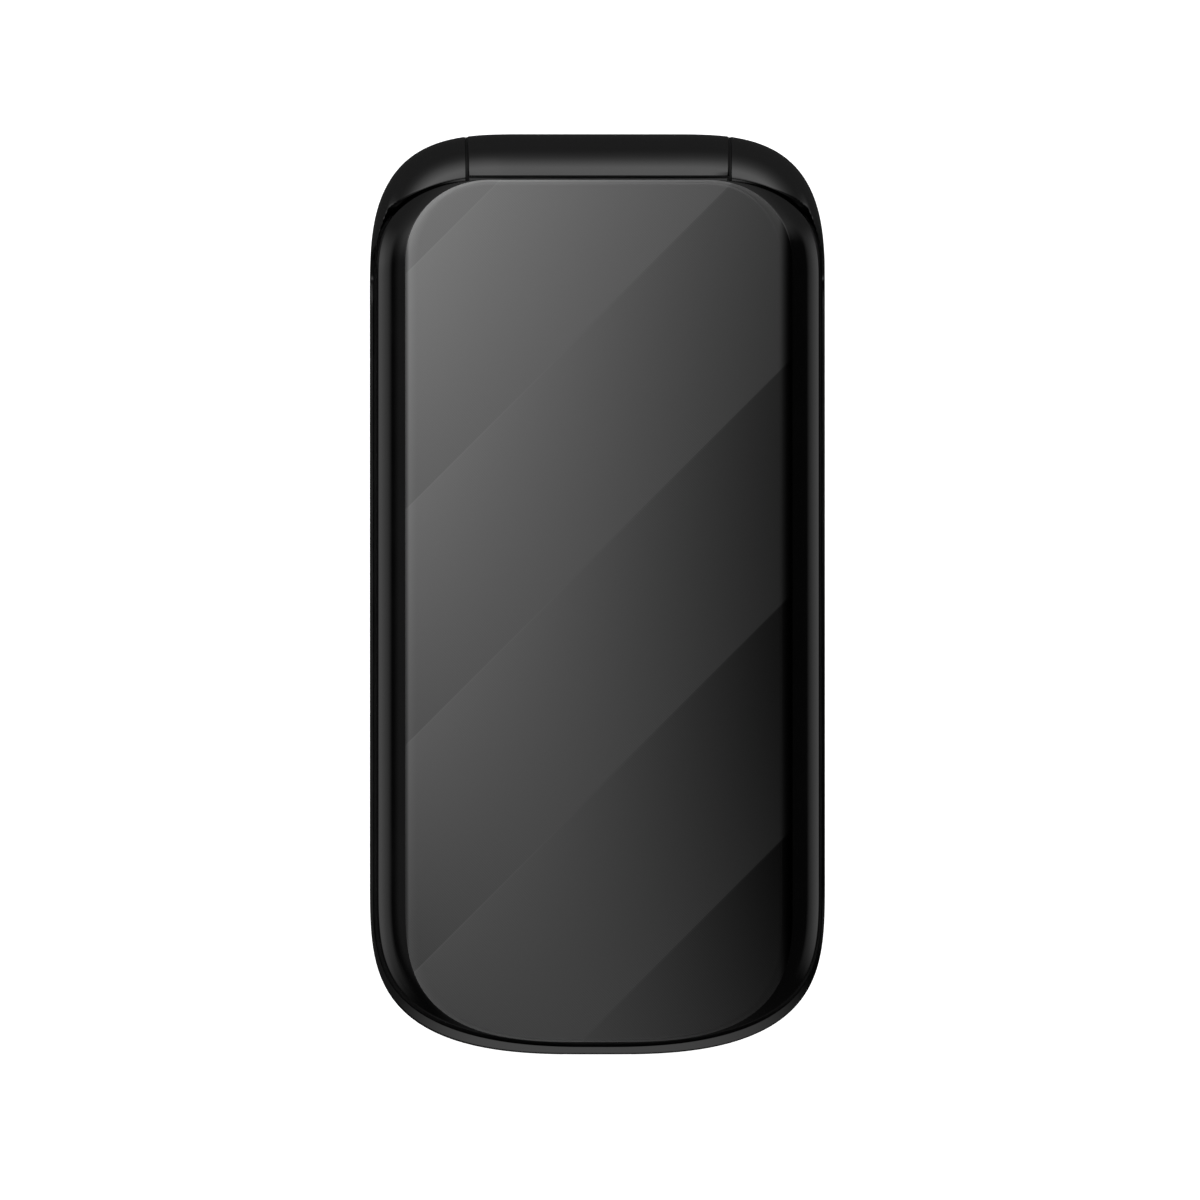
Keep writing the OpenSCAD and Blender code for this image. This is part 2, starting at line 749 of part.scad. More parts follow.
module flash_led() color("#e8e4c8") {
    disc(flash_x(), camera_y, 0.15, cover_t + 0.1, flash_r, small_fn);
    chip = 1.2;
    block([flash_x() - chip, camera_y - chip, cover_t + 0.1 - eps],
          [flash_x() + chip, camera_y + chip, cover_t + chip]);
}

motor_r = 4;

module vibration_motor() color(steel)
    disc(half_w - motor_r - 5.9, -half_l + motor_r + 11.5,
         inner_floor_z + inner_floor_t + part_gap, board_z - part_gap, motor_r);

antenna_w = 4.2;
antenna_l = 6;
antenna_wall = 0.8;

module antenna() color(gold) difference() {
    x = 9.1 - half_w;
    y = 13.5 - half_l;
    plate(x, y, inner_floor_z + inner_floor_t + part_gap, board_z - part_gap, antenna_w, antenna_l, 1);
    plate(x, y, 0, board_z - 1, antenna_w - 2 * antenna_wall, antenna_l - 2 * antenna_wall, 0.8);
}

module hall_sensor() color(lens_black)
    block([hall_x - 1, mic_y - 0.8, dome_z], [hall_x + 1, mic_y + 0.8, dome_z + 0.8]);

module base_screws() color(steel) {
    tip_z = deck_z + deck_t / 2 - 0.2;
    head_z = inner_floor_z + part_gap;
    for (p = screw_points) difference() {
        union() {
            disc(p[0], p[1], head_z, head_z + screw_head_t, screw_head_r, small_fn);
            disc(p[0], p[1], head_z, tip_z, screw_r, small_fn);
        }
        disc(p[0], p[1], 0, head_z + 0.4, 0.6, 6);
    }
}

// ---- Keys ----

key_gap = 0.2;
plunger_r = 1.1;
plunger_h = 0.2;
flange_lip = 0.5;

module key_holes() {
    for (p = number_points())
        plate(p[0], p[1], deck_z - 1, far, key_w + 2 * key_gap, key_l + 2 * key_gap, key_corner);
    for (p = side_points())
        plate(p[0], p[1], deck_z - 1, far, side_key_w + 2 * key_gap, side_key_l + 2 * key_gap, key_corner);
    disc(0, nav_y(), deck_z - 1, far, nav_r + loose_gap, 96);
}

module key_cap(p, w, l) {
    plate(p[0], p[1], flange_z, flange_z + flange_t, w + 2 * flange_lip, l + 2 * flange_lip, key_corner);
    plate(p[0], p[1], flange_z, key_top, w, l, key_corner);
    disc(p[0], p[1], flange_z - plunger_h, flange_z + eps, plunger_r, small_fn);
}

module number_key(i) color(graphite) key_cap(number_points()[i], key_w, key_l);

module side_key(i, shade) color(shade) key_cap(side_points()[i], side_key_w, side_key_l);

// Plate under the ring: it rocks about the X line through its two lower pads
backing_t = 0.2;
backing_r = nav_r - 1.4;
backing_lift = backing_r * sin(nav_tilt) + 0.02;
pad_r = 0.8;
ring_lift = nav_r * sin(nav_tilt) + 0.03;

function backing_z() = mat_z + mat_t + backing_lift;

function ring_z() = backing_z() + backing_t + ring_lift;

function nav_hole_r() = ok_r + 0.4;

module nav_backing() color(graphite) difference() {
    union() {
        disc(0, nav_y(), backing_z(), backing_z() + backing_t, backing_r);
        for (side = [-1, 1]) {
            disc(side * nav_press(), nav_y(), mat_z + mat_t + touch_gap, backing_z() + eps,
                 pad_r, small_fn);
            disc(0, nav_y() + side * nav_press(), backing_z(), ring_z() - touch_gap, pad_r, small_fn);
        }
    }
    disc(0, nav_y(), 0, far, nav_hole_r());
}

module nav_ring() color(steel) difference() {
    disc(0, nav_y(), ring_z(), key_top, nav_r, 96);
    disc(0, nav_y(), 0, far, nav_hole_r(), 96);
}

module ok_key() color(graphite) {
    disc(0, nav_y(), flange_z, key_top - 0.1, ok_r, 96);
    disc(0, nav_y(), flange_z - plunger_h, flange_z + eps, plunger_r, small_fn);
}

// ---- Hinge ----

shaft_seat = 4;
bush_seat = 3;
seam_wall = 0.4;
flex_rise_y = hinge_y - hinge_r + 0.9;
case_start = barrel_x - 0.6 - cartridge_l;
case_wall = 0.6;
chamber_l = cartridge_l - 3;

module hinge_shaft() color(steel) {
    axle(case_start + 1, shoulder_x + shaft_seat, shaft_r, small_fn);
}

module hinge_case() color(steel) difference() {
    axle(case_start, case_start + cartridge_l, cartridge_r);
    axle(case_start + 0.5, case_start + cartridge_l + 1, shaft_r + run_gap, small_fn);
    axle(case_start + 1.5, case_start + 1.5 + chamber_l, cartridge_r - case_wall);
}

module friction_washers() color(gold) {
    washers = 8;
    pitch = (chamber_l - 0.4) / washers;
    for (i = [0:washers - 1]) {
        x = case_start + 1.7 + i * pitch;
        difference() {
            axle(x, x + pitch - 0.2, cartridge_r - case_wall - run_gap, small_fn);
            axle(x - 1, x + pitch + 1, shaft_r + run_gap, small_fn);
        }
    }
}

bush_wall = 0.7;
bush_reach = 3.8;

module hinge_bush() color(graphite) difference() {
    axle(-shoulder_x - bush_seat, -barrel_x + bush_reach, cartridge_r);
    axle(-far, far, cartridge_r - bush_wall);
    // Side mouth for the cable that comes up the shoulder
    block([-shoulder_x - bush_seat - 1, hinge_y - cartridge_r - 1, hinge_z - 1.2],
          [-shoulder_x, hinge_y, hinge_z + 0.4]);
}

flex_t = 0.15;
flex_w = 2.2;

// Cable from the main board up the left shoulder and along the hollow bush
module base_flex() color(gold) {
    x0 = -shoulder_x - bush_seat + part_gap;
    x1 = x0 + flex_w;
    run_z = hinge_z - 0.4;
    block([x0, board_end_y - flex_landing + part_gap, dome_z], [x1, flex_rise_y + flex_t, dome_z + flex_t]);
    block([x0, flex_rise_y, dome_z], [x1, flex_rise_y + flex_t, run_z]);
    block([x0, flex_rise_y, run_z - flex_t], [x1, hinge_y, run_z]);
    block([x0, hinge_y - flex_w / 2, run_z - flex_t],
          [-barrel_x + bush_reach + 0.5, hinge_y + flex_w / 2, run_z]);
}

coil_turns = 2.25;
coil_steps = 36;
coil_pitch = 0.4;

function coil_point(i, r) =
    let (a = 360 * coil_turns * i / coil_steps)
    (r + coil_pitch * a / 360) * [cos(a), sin(a)];

// Loose coil of the cable in the barrel, and its tail into the lid
module hinge_flex() color(gold) {
    inner_r = 1.1;
    coil_x = -barrel_x + bush_reach + 0.8;
    coil_l = 4;
    translate([coil_x, hinge_y, hinge_z])
        rotate([0, 90, 0]) rotate([0, 0, 90])
            linear_extrude(coil_l)
                polygon(concat([for (i = [0:coil_steps]) coil_point(i, inner_r)],
                               [for (i = [coil_steps:-1:0]) coil_point(i, inner_r + flex_t)]));
    // Tail: from the coil's outer end up through the slot, then to the lid's board
    outer_r = inner_r + coil_pitch * coil_turns;
    tail_z = lid_board_z - flex_t - touch_gap;
    block([coil_x, hinge_y - outer_r * 0.35, hinge_z + outer_r - 0.4],
          [coil_x + coil_l, hinge_y - outer_r * 0.35 + flex_t, tail_z]);
    block([coil_x, hinge_y - trough_r - 3.6, tail_z - flex_t],
          [coil_x + coil_l, hinge_y - outer_r * 0.35 + flex_t, tail_z]);
}

// ---- Lid ----

module lid_form() {
    angles = [0, 18, 36, 54, 72, 90];
    loft(concat([lid_split_z], [for (a = angles) lid_round_z + lid_round_h * sin(a)]),
         concat([lid_ring(0)], [for (a = angles) lid_ring(1 - cos(a))]));
}

barrel_wall = 0.9;

module lid_outer_housing() color(black_gloss) difference() {
    union() {
        difference() {
            lid_form();
            difference() {
                union() {
                    slab(lid_split_z - 1, lid_round_z + 1, lid_ring(0, wall, wall));
                    slab(lid_round_z, skin_z, lid_ring(0, wall + 1.2, wall));
                }
                axle(-far, far, lid_swing_r + barrel_wall, 96);
            }
        }
        axle(-barrel_x, barrel_x, hinge_r, 96);
        for (p = lid_screw_points)
            disc(p[0], p[1], lid_split_z + 0.1, skin_z + eps, lid_boss_r, small_fn);
    }
    // The lid's corners pass over the shoulders
    for (side = [0, 1])
        mirror([side, 0, 0]) axle(barrel_x, far, lid_swing_r, 96);
    // Bores of the barrel: cartridge on the right, bush and cable on the left
    axle(case_start, barrel_x + 1, cartridge_r + seat_gap);
    axle(-barrel_x - 1, -barrel_x + bush_reach + 5.4, cartridge_r + run_gap);
    block([-barrel_x + bush_reach + 0.4, hinge_y - trough_r - 4, lid_board_z - 4 * flex_t - 0.2],
          [-barrel_x + bush_reach + 5.2, hinge_y - 0.2, lid_board_z + 0.2]);
    for (p = lid_screw_points)
        disc(p[0], p[1], 0, skin_z - 0.6, screw_r + seat_gap, small_fn);
}

module lid_window() color(graphite) {
    angles = [0, 22.5, 45, 67.5, 90];
    edge_z = lid_top - window_edge_rise;
    loft(concat([window_z], [for (a = angles) edge_z + window_edge_rise * sin(a)]),
         concat([lid_ring(1)],
                [for (a = angles)
                    lid_ring(1, window_edge_side * (1 - cos(a)), window_edge_end * (1 - cos(a)))]));
}

module lid_inner_housing() color(black_gloss) difference() {
    slab(lid_z, lid_split_z - touch_gap, lid_ring(0));
    // Space above the plate
    slab(inner_plate_top, far, lid_ring(0, wall, wall));
    // Pocket of the lens and the view of the display
    plate(0, lens_y, 0, ledge_z, lens_w + 2 * part_gap, lens_l + 2 * part_gap, lens_corner);
    plate(0, lcd_y, 0, far, view_w, view_l, 1);
    // The hinge end stays clear of the barrel and of the shoulders
    axle(-far, far, lid_swing_r, 96);
    block([-far, hinge_y - lid_swing_r, 0], [far, far, far]);
    for (p = lid_screw_points) {
        disc(p[0], p[1], 0, far, screw_r + part_gap, small_fn);
        disc(p[0], p[1], 0, cap_top(), screw_head_r + part_gap, small_fn);
    }
    for (x = [-3.2, 0, 3.2])
        plate(x, earpiece_y, 0, far, 2.4, 1.1, 0.5);
    for (side = [-1, 1])
        disc(side * bumper_x, bumper_y, 0, lid_z + 0.5, bumper_r + seat_gap, small_fn);
}

function cap_top() = lid_z + 0.5 + screw_head_t;

module display_lens() color(lens_black)
    plate(0, lens_y, lens_z, ledge_z, lens_w, lens_l, lens_corner - part_gap);

module lcd_panel() color("#15171c")
    plate(0, lcd_y, lcd_z, lcd_z + lcd_t, lcd_w, lcd_l, 0.4);

module backlight_frame() color(steel)
    plate(0, lcd_y, backlight_z, backlight_z + backlight_t, lcd_w, lcd_l, 0.6);

board_side = 2.5;
board_end = 3;

module lid_board() color(board_green)
    plate(0, lens_y, lid_board_z, lid_board_z + lid_board_t,
          lcd_w - 2 * board_side, lens_l - 2 * board_end, 1.5);

module lid_midframe() color(steel) difference() {
    windows = 3;
    window_side = 7;
    window_pitch = lens_l / (windows + 1);
    plate(0, lens_y, midframe_z, midframe_z + midframe_t,
          lcd_w - 2 * board_side + 2, lens_l - 2 * board_end + 2, 2);
    for (i = [0:windows - 1])
        plate(0, lens_y + (i - (windows - 1) / 2) * window_pitch, 0, far,
              lcd_w - 2 * board_side - 2 * window_side, window_pitch - window_side, 3);
}

earpiece_w = 15;
earpiece_l = 6;
earpiece_t = 2.2;

module earpiece() color(steel)
    plate(0, earpiece_y, inner_plate_top + 0.1, inner_plate_top + 0.1 + earpiece_t,
          earpiece_w, earpiece_l, 2.4);

magnet_r = 1.5;

module lid_magnet() color(steel)
    block([hall_x - magnet_r, earpiece_y - magnet_r, inner_plate_top + 0.1],
          [hall_x + magnet_r, earpiece_y + magnet_r, inner_plate_top + 1.9]);

module lid_bumpers() color(rubber_grey)
    for (side = [-1, 1])
        disc(side * bumper_x, bumper_y, deck_top + touch_gap, lid_z + 0.5, bumper_r, small_fn);

module lid_screws() color(steel) {
    head_z = lid_z + 0.5;
    for (p = lid_screw_points) difference() {
        union() {
            disc(p[0], p[1], head_z, head_z + screw_head_t, screw_head_r, small_fn);
            disc(p[0], p[1], head_z, skin_z - 0.8, screw_r, small_fn);
        }
        disc(p[0], p[1], 0, head_z + 0.4, 0.6, 6);
    }
}

module lid_screw_caps() color(rubber_grey)
    for (p = lid_screw_points)
        disc(p[0], p[1], lid_z, lid_z + 0.5 - seat_gap, screw_head_r + part_gap - seat_gap, small_fn);

// ---- Nodes ----

base_rear_housing();
base_front_housing();
battery_cover();
battery();
battery_connector();
main_board();
shield_cans();
dome_sheet();
keypad_mat();
sim_holder();
memory_card_holder();
usb_port();
headphone_jack();
loudspeaker();
microphone();
camera_module();
camera_window();
flash_led();
vibration_motor();
antenna();
hall_sensor();
base_screws();
number_key(0);  // key_1
number_key(1);  // key_2
number_key(2);  // key_3
number_key(3);  // key_4
number_key(4);  // key_5
number_key(5);  // key_6
number_key(6);  // key_7
number_key(7);  // key_8
number_key(8);  // key_9
number_key(9);  // key_star
number_key(10);  // key_0
number_key(11);  // key_hash
side_key(0, graphite);  // soft_key_left
side_key(1, graphite);  // soft_key_right
side_key(2, "#2e6b3a");  // call_key
side_key(3, "#8a2d2a");  // end_key
nav_backing();
nav_ring();
ok_key();
hinge_shaft();
hinge_case();
friction_washers();
hinge_bush();
base_flex();
hinge_flex();
lid_outer_housing();
lid_window();
lid_inner_housing();
display_lens();
lcd_panel();
backlight_frame();
lid_board();
lid_midframe();
earpiece();
lid_magnet();
lid_bumpers();
lid_screws();
lid_screw_caps();
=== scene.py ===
import json

import bpy
import bmesh
import numpy as np
from math import cos, pi, radians, sin, sqrt, tan
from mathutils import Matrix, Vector


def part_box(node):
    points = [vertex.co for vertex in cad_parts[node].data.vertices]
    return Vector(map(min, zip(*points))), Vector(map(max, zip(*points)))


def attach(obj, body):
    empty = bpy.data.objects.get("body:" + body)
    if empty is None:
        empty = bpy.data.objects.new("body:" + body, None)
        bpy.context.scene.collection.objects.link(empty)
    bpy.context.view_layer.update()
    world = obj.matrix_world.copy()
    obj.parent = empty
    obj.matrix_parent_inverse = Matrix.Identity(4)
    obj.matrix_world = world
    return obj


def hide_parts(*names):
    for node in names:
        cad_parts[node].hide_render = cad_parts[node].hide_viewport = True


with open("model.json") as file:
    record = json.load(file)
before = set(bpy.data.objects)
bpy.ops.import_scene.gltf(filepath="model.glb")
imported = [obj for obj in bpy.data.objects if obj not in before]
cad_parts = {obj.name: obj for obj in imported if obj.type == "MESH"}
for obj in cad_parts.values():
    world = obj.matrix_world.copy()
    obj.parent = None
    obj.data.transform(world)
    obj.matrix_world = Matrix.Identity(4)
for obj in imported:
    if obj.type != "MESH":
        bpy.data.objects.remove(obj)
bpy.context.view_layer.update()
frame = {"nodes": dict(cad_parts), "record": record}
print("frame loaded")

mm = 0.001
far = 60  # beyond every edge of the phone, for cutters
smoothAngle = 35  # faces that meet at a smaller angle shade as one

# Outlines and meshes


def cornerPoints(reach, run, powerAcross, powerAlong, steps):
    # a quarter of a superellipse, from its side to its end, evenly spread
    points = []
    for i in range(steps + 1):
        share = i / steps
        rising = share ** (powerAlong / 2)
        falling = (1 - share) ** (powerAcross / 2)
        turn = radians(90 * rising / (rising + falling))
        points.append((reach * max(cos(turn), 0) ** (2 / powerAcross), run * sin(turn) ** (2 / powerAlong)))
    points[-1] = (0, run)
    return points


def cornerRuns(plan, steps):
    # right side of an outline: its corner at the hinge end and at the free end, each from the side to the end
    halfWidth, hingeEnd, freeEnd, hingeCorner, freeCorner = plan
    hinge = [(halfWidth - hingeCorner[0] + x, hingeEnd - hingeCorner[1] + y)
             for x, y in cornerPoints(*hingeCorner, steps)]
    free = [(halfWidth - freeCorner[0] + x, freeCorner[1] - freeEnd - y)
            for x, y in cornerPoints(*freeCorner, steps)]
    return hinge, free


def outline(plan, steps=40):
    # closed and counter-clockwise, from the right side of the hinge end
    hinge, free = cornerRuns(plan, steps)
    points = hinge + [(-x, y) for x, y in reversed(hinge)]
    points += [(-x, y) for x, y in free] + list(reversed(free))
    return np.array(points)


def planOf(piece):
    return [piece[key] for key in ("halfWidth", "hingeEnd", "freeEnd", "hingeCorner", "freeCorner")]


def shrunk(plan, across, along):
    halfWidth, hingeEnd, freeEnd, *corners = plan
    return [halfWidth - across, hingeEnd - along, freeEnd - along] + [
        (reach - across, run - along, *powers) for reach, run, *powers in corners]


def placed(name, data):
    # a new object in the scene
    piece = bpy.data.objects.new(name, data)
    bpy.context.scene.collection.objects.link(piece)
    return piece


def painted(piece, paint):
    piece.data.materials.clear()
    piece.data.materials.append(paint)
    return piece


def meshPiece(name, points, faces, smoothBelow=smoothAngle):
    # points in millimetres
    mesh = bpy.data.meshes.new(name)
    mesh.from_pydata([tuple(c * mm for c in p) for p in points], [], faces)
    piece = placed(name, mesh)
    tidyMesh(piece, smoothBelow)
    return piece


def tidyMesh(piece, smoothBelow=smoothAngle):
    # no double points or slivers, faces outwards, and sharp edges marked
    work = bmesh.new()
    work.from_mesh(piece.data)
    bmesh.ops.remove_doubles(work, verts=work.verts, dist=1e-7)
    bmesh.ops.dissolve_degenerate(work, edges=work.edges, dist=1e-8)
    bmesh.ops.recalc_face_normals(work, faces=work.faces)
    work.to_mesh(piece.data)
    work.free()
    piece.data.shade_smooth()
    piece.data.set_sharp_from_angle(angle=radians(smoothBelow))


def loft(name, rings, smoothBelow=smoothAngle, ring=False):
    # rings: loops with equal counts of (x, y, z), capped at both ends; ring: the last runs into the first
    count, rows = len(rings[0]), len(rings)
    points = [tuple(p) for loop in rings for p in loop]
    faces = []
    for k in range(rows if ring else rows - 1):
        for i in range(count):
            j, above = (i + 1) % count, (k + 1) % rows
            faces.append((k * count + i, k * count + j, above * count + j, above * count + i))
    if not ring:
        faces.append(tuple(reversed(range(count))))
        faces.append(tuple((rows - 1) * count + i for i in range(count)))
    return meshPiece(name, points, faces, smoothBelow)


def level(points, z):
    return [(x, y, z) for x, y in points]


def slab(name, points, low, high):
    return loft(name, [level(points, low), level(points, high)])


def block(name, low, high):
    corners = [(high[0], low[1]), (high[0], high[1]), (low[0], high[1]), (low[0], low[1])]
    return slab(name, corners, low[2], high[2])


def circle(x, y, radius, count=48):
    return [(x + radius * cos(radians(360 * i / count)), y + radius * sin(radians(360 * i / count)))
            for i in range(count)]


def roundedRectangle(x, y, width, length, radius, steps=8):
    points = []
    for quarter, (sx, sy) in enumerate(((1, 1), (-1, 1), (-1, -1), (1, -1))):
        for i in range(steps + 1):
            turn = radians(90 * (quarter + i / steps))
            points.append((x + sx * (width / 2 - radius) + radius * cos(turn),
                           y + sy * (length / 2 - radius) + radius * sin(turn)))
    return points


def cushion(name, x, y, width, length, corner, steps, smoothBelow=smoothAngle):
    # a rounded block; steps: how far in from its side, and at what height
    return loft(name, [level(roundedRectangle(x, y, width - 2 * i, length - 2 * i, max(corner - i, 0.3)), z)
                       for i, z in steps], smoothBelow)


def turned(name, profile, axisY, axisZ, count=128):
    # profile: (x, radius) from end to end, turned about the X line through axisY, axisZ
    return loft(name, [[(x, y, z) for y, z in circle(axisY, axisZ, r, count)] for x, r in profile])


def spun(name, profile, x, y, count=96, ring=False):
    # profile: (radius, height) pairs, turned about an upright line; ring: the profile closes on itself
    return loft(name, [level(circle(x, y, r, count), z) for r, z in profile], ring=ring)


def carve(piece, cutters, operation="DIFFERENCE", flatFaces=False):
    # cutters run well past the faces they open, so the heights of their far ends are round numbers
    for cutter in cutters:
        step = piece.modifiers.new("carve", "BOOLEAN")
        step.operation = operation
        step.object = cutter
        step.solver = "MANIFOLD"
        applyModifiers(piece)
        bpy.data.objects.remove(cutter)
    tidyMesh(piece)
    if flatFaces:
        # broad flat faces keep their shading right up to their rounded edges
        step = piece.modifiers.new("flatFaces", "WEIGHTED_NORMAL")
        step.keep_sharp = True
        step.weight = 90
        applyModifiers(piece)
    return piece


def finalMesh(piece):
    # with its modifiers applied, and text turned into faces
    shape = bpy.context.evaluated_depsgraph_get()
    shape.update()
    return bpy.data.meshes.new_from_object(piece.evaluated_get(shape))


def applyModifiers(piece):
    result = finalMesh(piece)
    piece.modifiers.clear()
    piece.data = result


def joined(name, pieces):
    # one object from several; material slots are kept side by side
    work = bmesh.new()
    materials = []
    for piece in pieces:
        start = len(work.faces)
        work.from_mesh(piece.data)
        work.faces.ensure_lookup_table()
        own = list(piece.data.materials)
        for face in work.faces[start:]:
            paint = own[face.material_index] if own else None
            if paint not in materials:
                materials.append(paint)
            face.material_index = materials.index(paint)
    mesh = bpy.data.meshes.new(name)
    work.to_mesh(mesh)
    work.free()
    for paint in materials:
        mesh.materials.append(paint)
    for piece in pieces:
        bpy.data.objects.remove(piece)
    return placed(name, mesh)


def dress(piece, paint, body, slot, *nodes):
    # one finish over the whole piece, and its place in the frame
    painted(piece, paint)
    piece.data.polygons.foreach_set("material_index", [0] * len(piece.data.polygons))
    mounted(piece, body, slot, *nodes)


def mounted(piece, body, slot, *nodes):
    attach(piece, body)
    if nodes:
        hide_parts(*nodes)


def clipped(points, low=-1e3, high=1e3):
    # a convex outline cut to a range of y
    for sign, limit in ((1, low), (-1, high)):
        kept = []
        for (xa, ya), (xb, yb) in zip(points, list(points[1:]) + [points[0]]):
            a, b = sign * ya - sign * limit, sign * yb - sign * limit
            if a >= 0:
                kept.append((xa, ya))
            if a * b < 0:
                kept.append((xa + (xb - xa) * a / (a - b), limit))
        points = kept
    return points


def span(node):
    # centre and size of a CAD node in millimetres
    low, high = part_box(node)
    return [(a + b) / 2 / mm for a, b in zip(low, high)], [(b - a) / mm for a, b in zip(low, high)]


# Shader maths


def operator(kind):
    # an operator of the class below and its reflected form
    return (lambda self, other: self.maths(kind, self, other),
            lambda self, other: self.maths(kind, other, self))


class Wire:
    # one output of a shader tree, so that its maths reads as Python
    __add__, __radd__ = operator("ADD")
    __sub__, __rsub__ = operator("SUBTRACT")
    __mul__, __rmul__ = operator("MULTIPLY")
    __truediv__, __rtruediv__ = operator("DIVIDE")
    __pow__, __rpow__ = operator("POWER")

    def __init__(self, tree, socket=None):
        self.tree = tree
        self.socket = socket

    def make(self, kind, settings=None, sockets=None, output=0):
        node = self.tree.nodes.new(kind)
        for key, value in (settings or {}).items():
            if key == "stops":
                ramp = node.color_ramp
                while len(ramp.elements) < len(value):
                    ramp.elements.new(0.5)
                for element, (place, shade) in zip(ramp.elements, value):
                    element.position = place
                    element.color = (shade, shade, shade, 1)
            else:
                setattr(node, key, value)
        self.feed(node, sockets or {})
        return Wire(self.tree, node.outputs[output])

    def feed(self, node, sockets):
        for key, value in sockets.items():
            if isinstance(value, Wire):
                self.tree.links.new(value.socket, node.inputs[key])
            else:
                node.inputs[key].default_value = value

    def maths(self, operation, *values):
        return self.make("ShaderNodeMath", {"operation": operation}, dict(enumerate(values)))

    def __neg__(self):
        return self.maths("MULTIPLY", self, -1.0)

    def __abs__(self):
        return self.maths("ABSOLUTE", self)

    def split(self):
        # the x, y and z of this vector
        parts = self.make("ShaderNodeSeparateXYZ", None, {0: self})
        return [Wire(self.tree, parts.socket.node.outputs[i]) for i in range(3)]

    def steps(self, low, high, outLow=0.0, outHigh=1.0):
        # smooth rise of this value from outLow to outHigh between low and high
        sockets = {"Value": self, "From Min": low, "From Max": high, "To Min": outLow, "To Max": outHigh}
        return self.make("ShaderNodeMapRange", {"interpolation_type": "SMOOTHSTEP", "clamp": True}, sockets)

    def between(self, first, second):
        # colour mix, with this value as the share of the second
        return self.make("ShaderNodeMix", {"data_type": "RGBA"}, {0: self, 6: first, 7: second}, output=2)


class Finish(Wire):
    # a material under construction; its wires start here
    def __init__(self, name):
        self.material = bpy.data.materials.new(name)
        self.material.use_nodes = True
        super().__init__(self.material.node_tree)
        self.shader = self.tree.nodes["Principled BSDF"]

    def place(self):
        # object coordinates in millimetres, as x, y and z
        return [side * (1 / mm) for side in self.make("ShaderNodeTexCoord", output="Object").split()]

    def grain(self, size, detail=3.0, rough=0.5, offset=0.0):
        # noise, with its largest grain in millimetres
        spot = self.make("ShaderNodeTexCoord", output="Object")
        moved = self.make("ShaderNodeVectorMath", {"operation": "ADD"}, {0: spot, 1: (offset,) * 3})
        return self.make("ShaderNodeTexNoise", None,
                         {"Vector": moved, "Scale": 1 / mm / size, "Detail": detail, "Roughness": rough})

    def bump(self, height, depth):
        # depth in millimetres
        return self.make("ShaderNodeBump", None, {"Strength": 1.0, "Distance": depth * mm, "Height": height})

    def wear(self, **sockets):
        self.feed(self.shader, {key.replace("_", " "): value for key, value in sockets.items()})
        return self.material


def shade(value, tint=1.03):
    # near-neutral colour, a touch cooler in blue
    return (value, value, value * tint, 1)


def lacquer(name, tone, roughness, coat=0.0, smudge=0.03, grainDepth=0.0):
    # smooth dark lacquer with faint smudges and very fine orange peel
    paint = Finish(name)
    smudges = paint.grain(9.0, 4.0)
    fine = paint.grain(0.5, 2.0, offset=0.3)
    colour = smudges.steps(0.3, 0.7).between(shade(tone * 0.85), shade(tone * 1.15))
    height = fine * 0.7 + smudges * 0.3
    return paint.wear(Base_Color=colour, Coat_Weight=coat, Coat_Roughness=0.04,
                      Roughness=smudges.steps(0.35, 0.75, roughness - smudge, roughness + smudge),
                      Normal=paint.bump(height, grainDepth))


def moulded(name, tone, roughness, grainSize=0.12, grainDepth=0.012, tint=1.03, gloss=0.5):
    # matt moulded plastic with a fine spark-eroded grain
    paint = Finish(name)
    patches = paint.grain(12.0, 3.0)
    texture = paint.grain(grainSize, 2.0, 0.6, 0.7)
    colour = patches.steps(0.3, 0.7).between(shade(tone * 0.85, tint), shade(tone * 1.15, tint))
    return paint.wear(Base_Color=colour, Specular_IOR_Level=gloss,
                      Roughness=patches.steps(0.3, 0.7, roughness - 0.05, roughness + 0.05),
                      Normal=paint.bump(texture, grainDepth))


def metal(name, colour, roughness, length=2.0, depth=0.004, across=(1, 40, 1)):
    # brushed or rolled metal: noise of a given length in millimetres, squeezed along one axis
    paint = Finish(name)
    spot = paint.make("ShaderNodeTexCoord", output="Object")
    drawn = paint.make("ShaderNodeVectorMath", {"operation": "MULTIPLY"}, {0: spot, 1: across})
    lines = paint.make("ShaderNodeTexNoise", None,
                       {"Vector": drawn, "Scale": 1 / (length * mm), "Detail": 3.0})
    patches = paint.grain(3.0, 2.0)
    darker = tuple(c * 0.8 for c in colour) + (1,)
    tone = (lines * 0.6 + patches * 0.4).steps(0.3, 0.7).between(darker, tuple(colour) + (1,))
    return paint.wear(Base_Color=tone, Metallic=1.0, Normal=paint.bump(lines, depth),
                      Roughness=lines.steps(0.3, 0.7, roughness - 0.07, roughness + 0.07))


# Floor, camera and lights

floorPlan = {"size": 6000, "corner": 200, "low": -0.05,
             "tone": 0.86, "glow": 1.05, "mottle": 400, "darker": 0.99}

floorEdge = roundedRectangle(0, 0, floorPlan["size"], floorPlan["size"], floorPlan["corner"])
floor = meshPiece("floor", level(floorEdge, floorPlan["low"]), [tuple(range(len(floorEdge)))])
floorPaint = Finish("paleFloor")
floorTone = floorPaint.grain(floorPlan["mottle"], 2.0).steps(0.2, 0.8).between(
    shade(floorPlan["tone"], 1), shade(floorPlan["tone"] * floorPlan["darker"], 1))
painted(floor, floorPaint.wear(
    Base_Color=floorTone, Roughness=0.9, Emission_Color=(1, 1, 1, 1), Emission_Strength=floorPlan["glow"]))
floor.visible_glossy = False

# nearly straight above, about a degree to the left and towards the free end
view = {"x": 0.235, "y": -0.675, "height": 12, "distance": 5988, "leanLeft": 1.05, "leanFree": 1.0,
        "width": 135.65, "sensor": 36, "clip": (0.05, 50)}

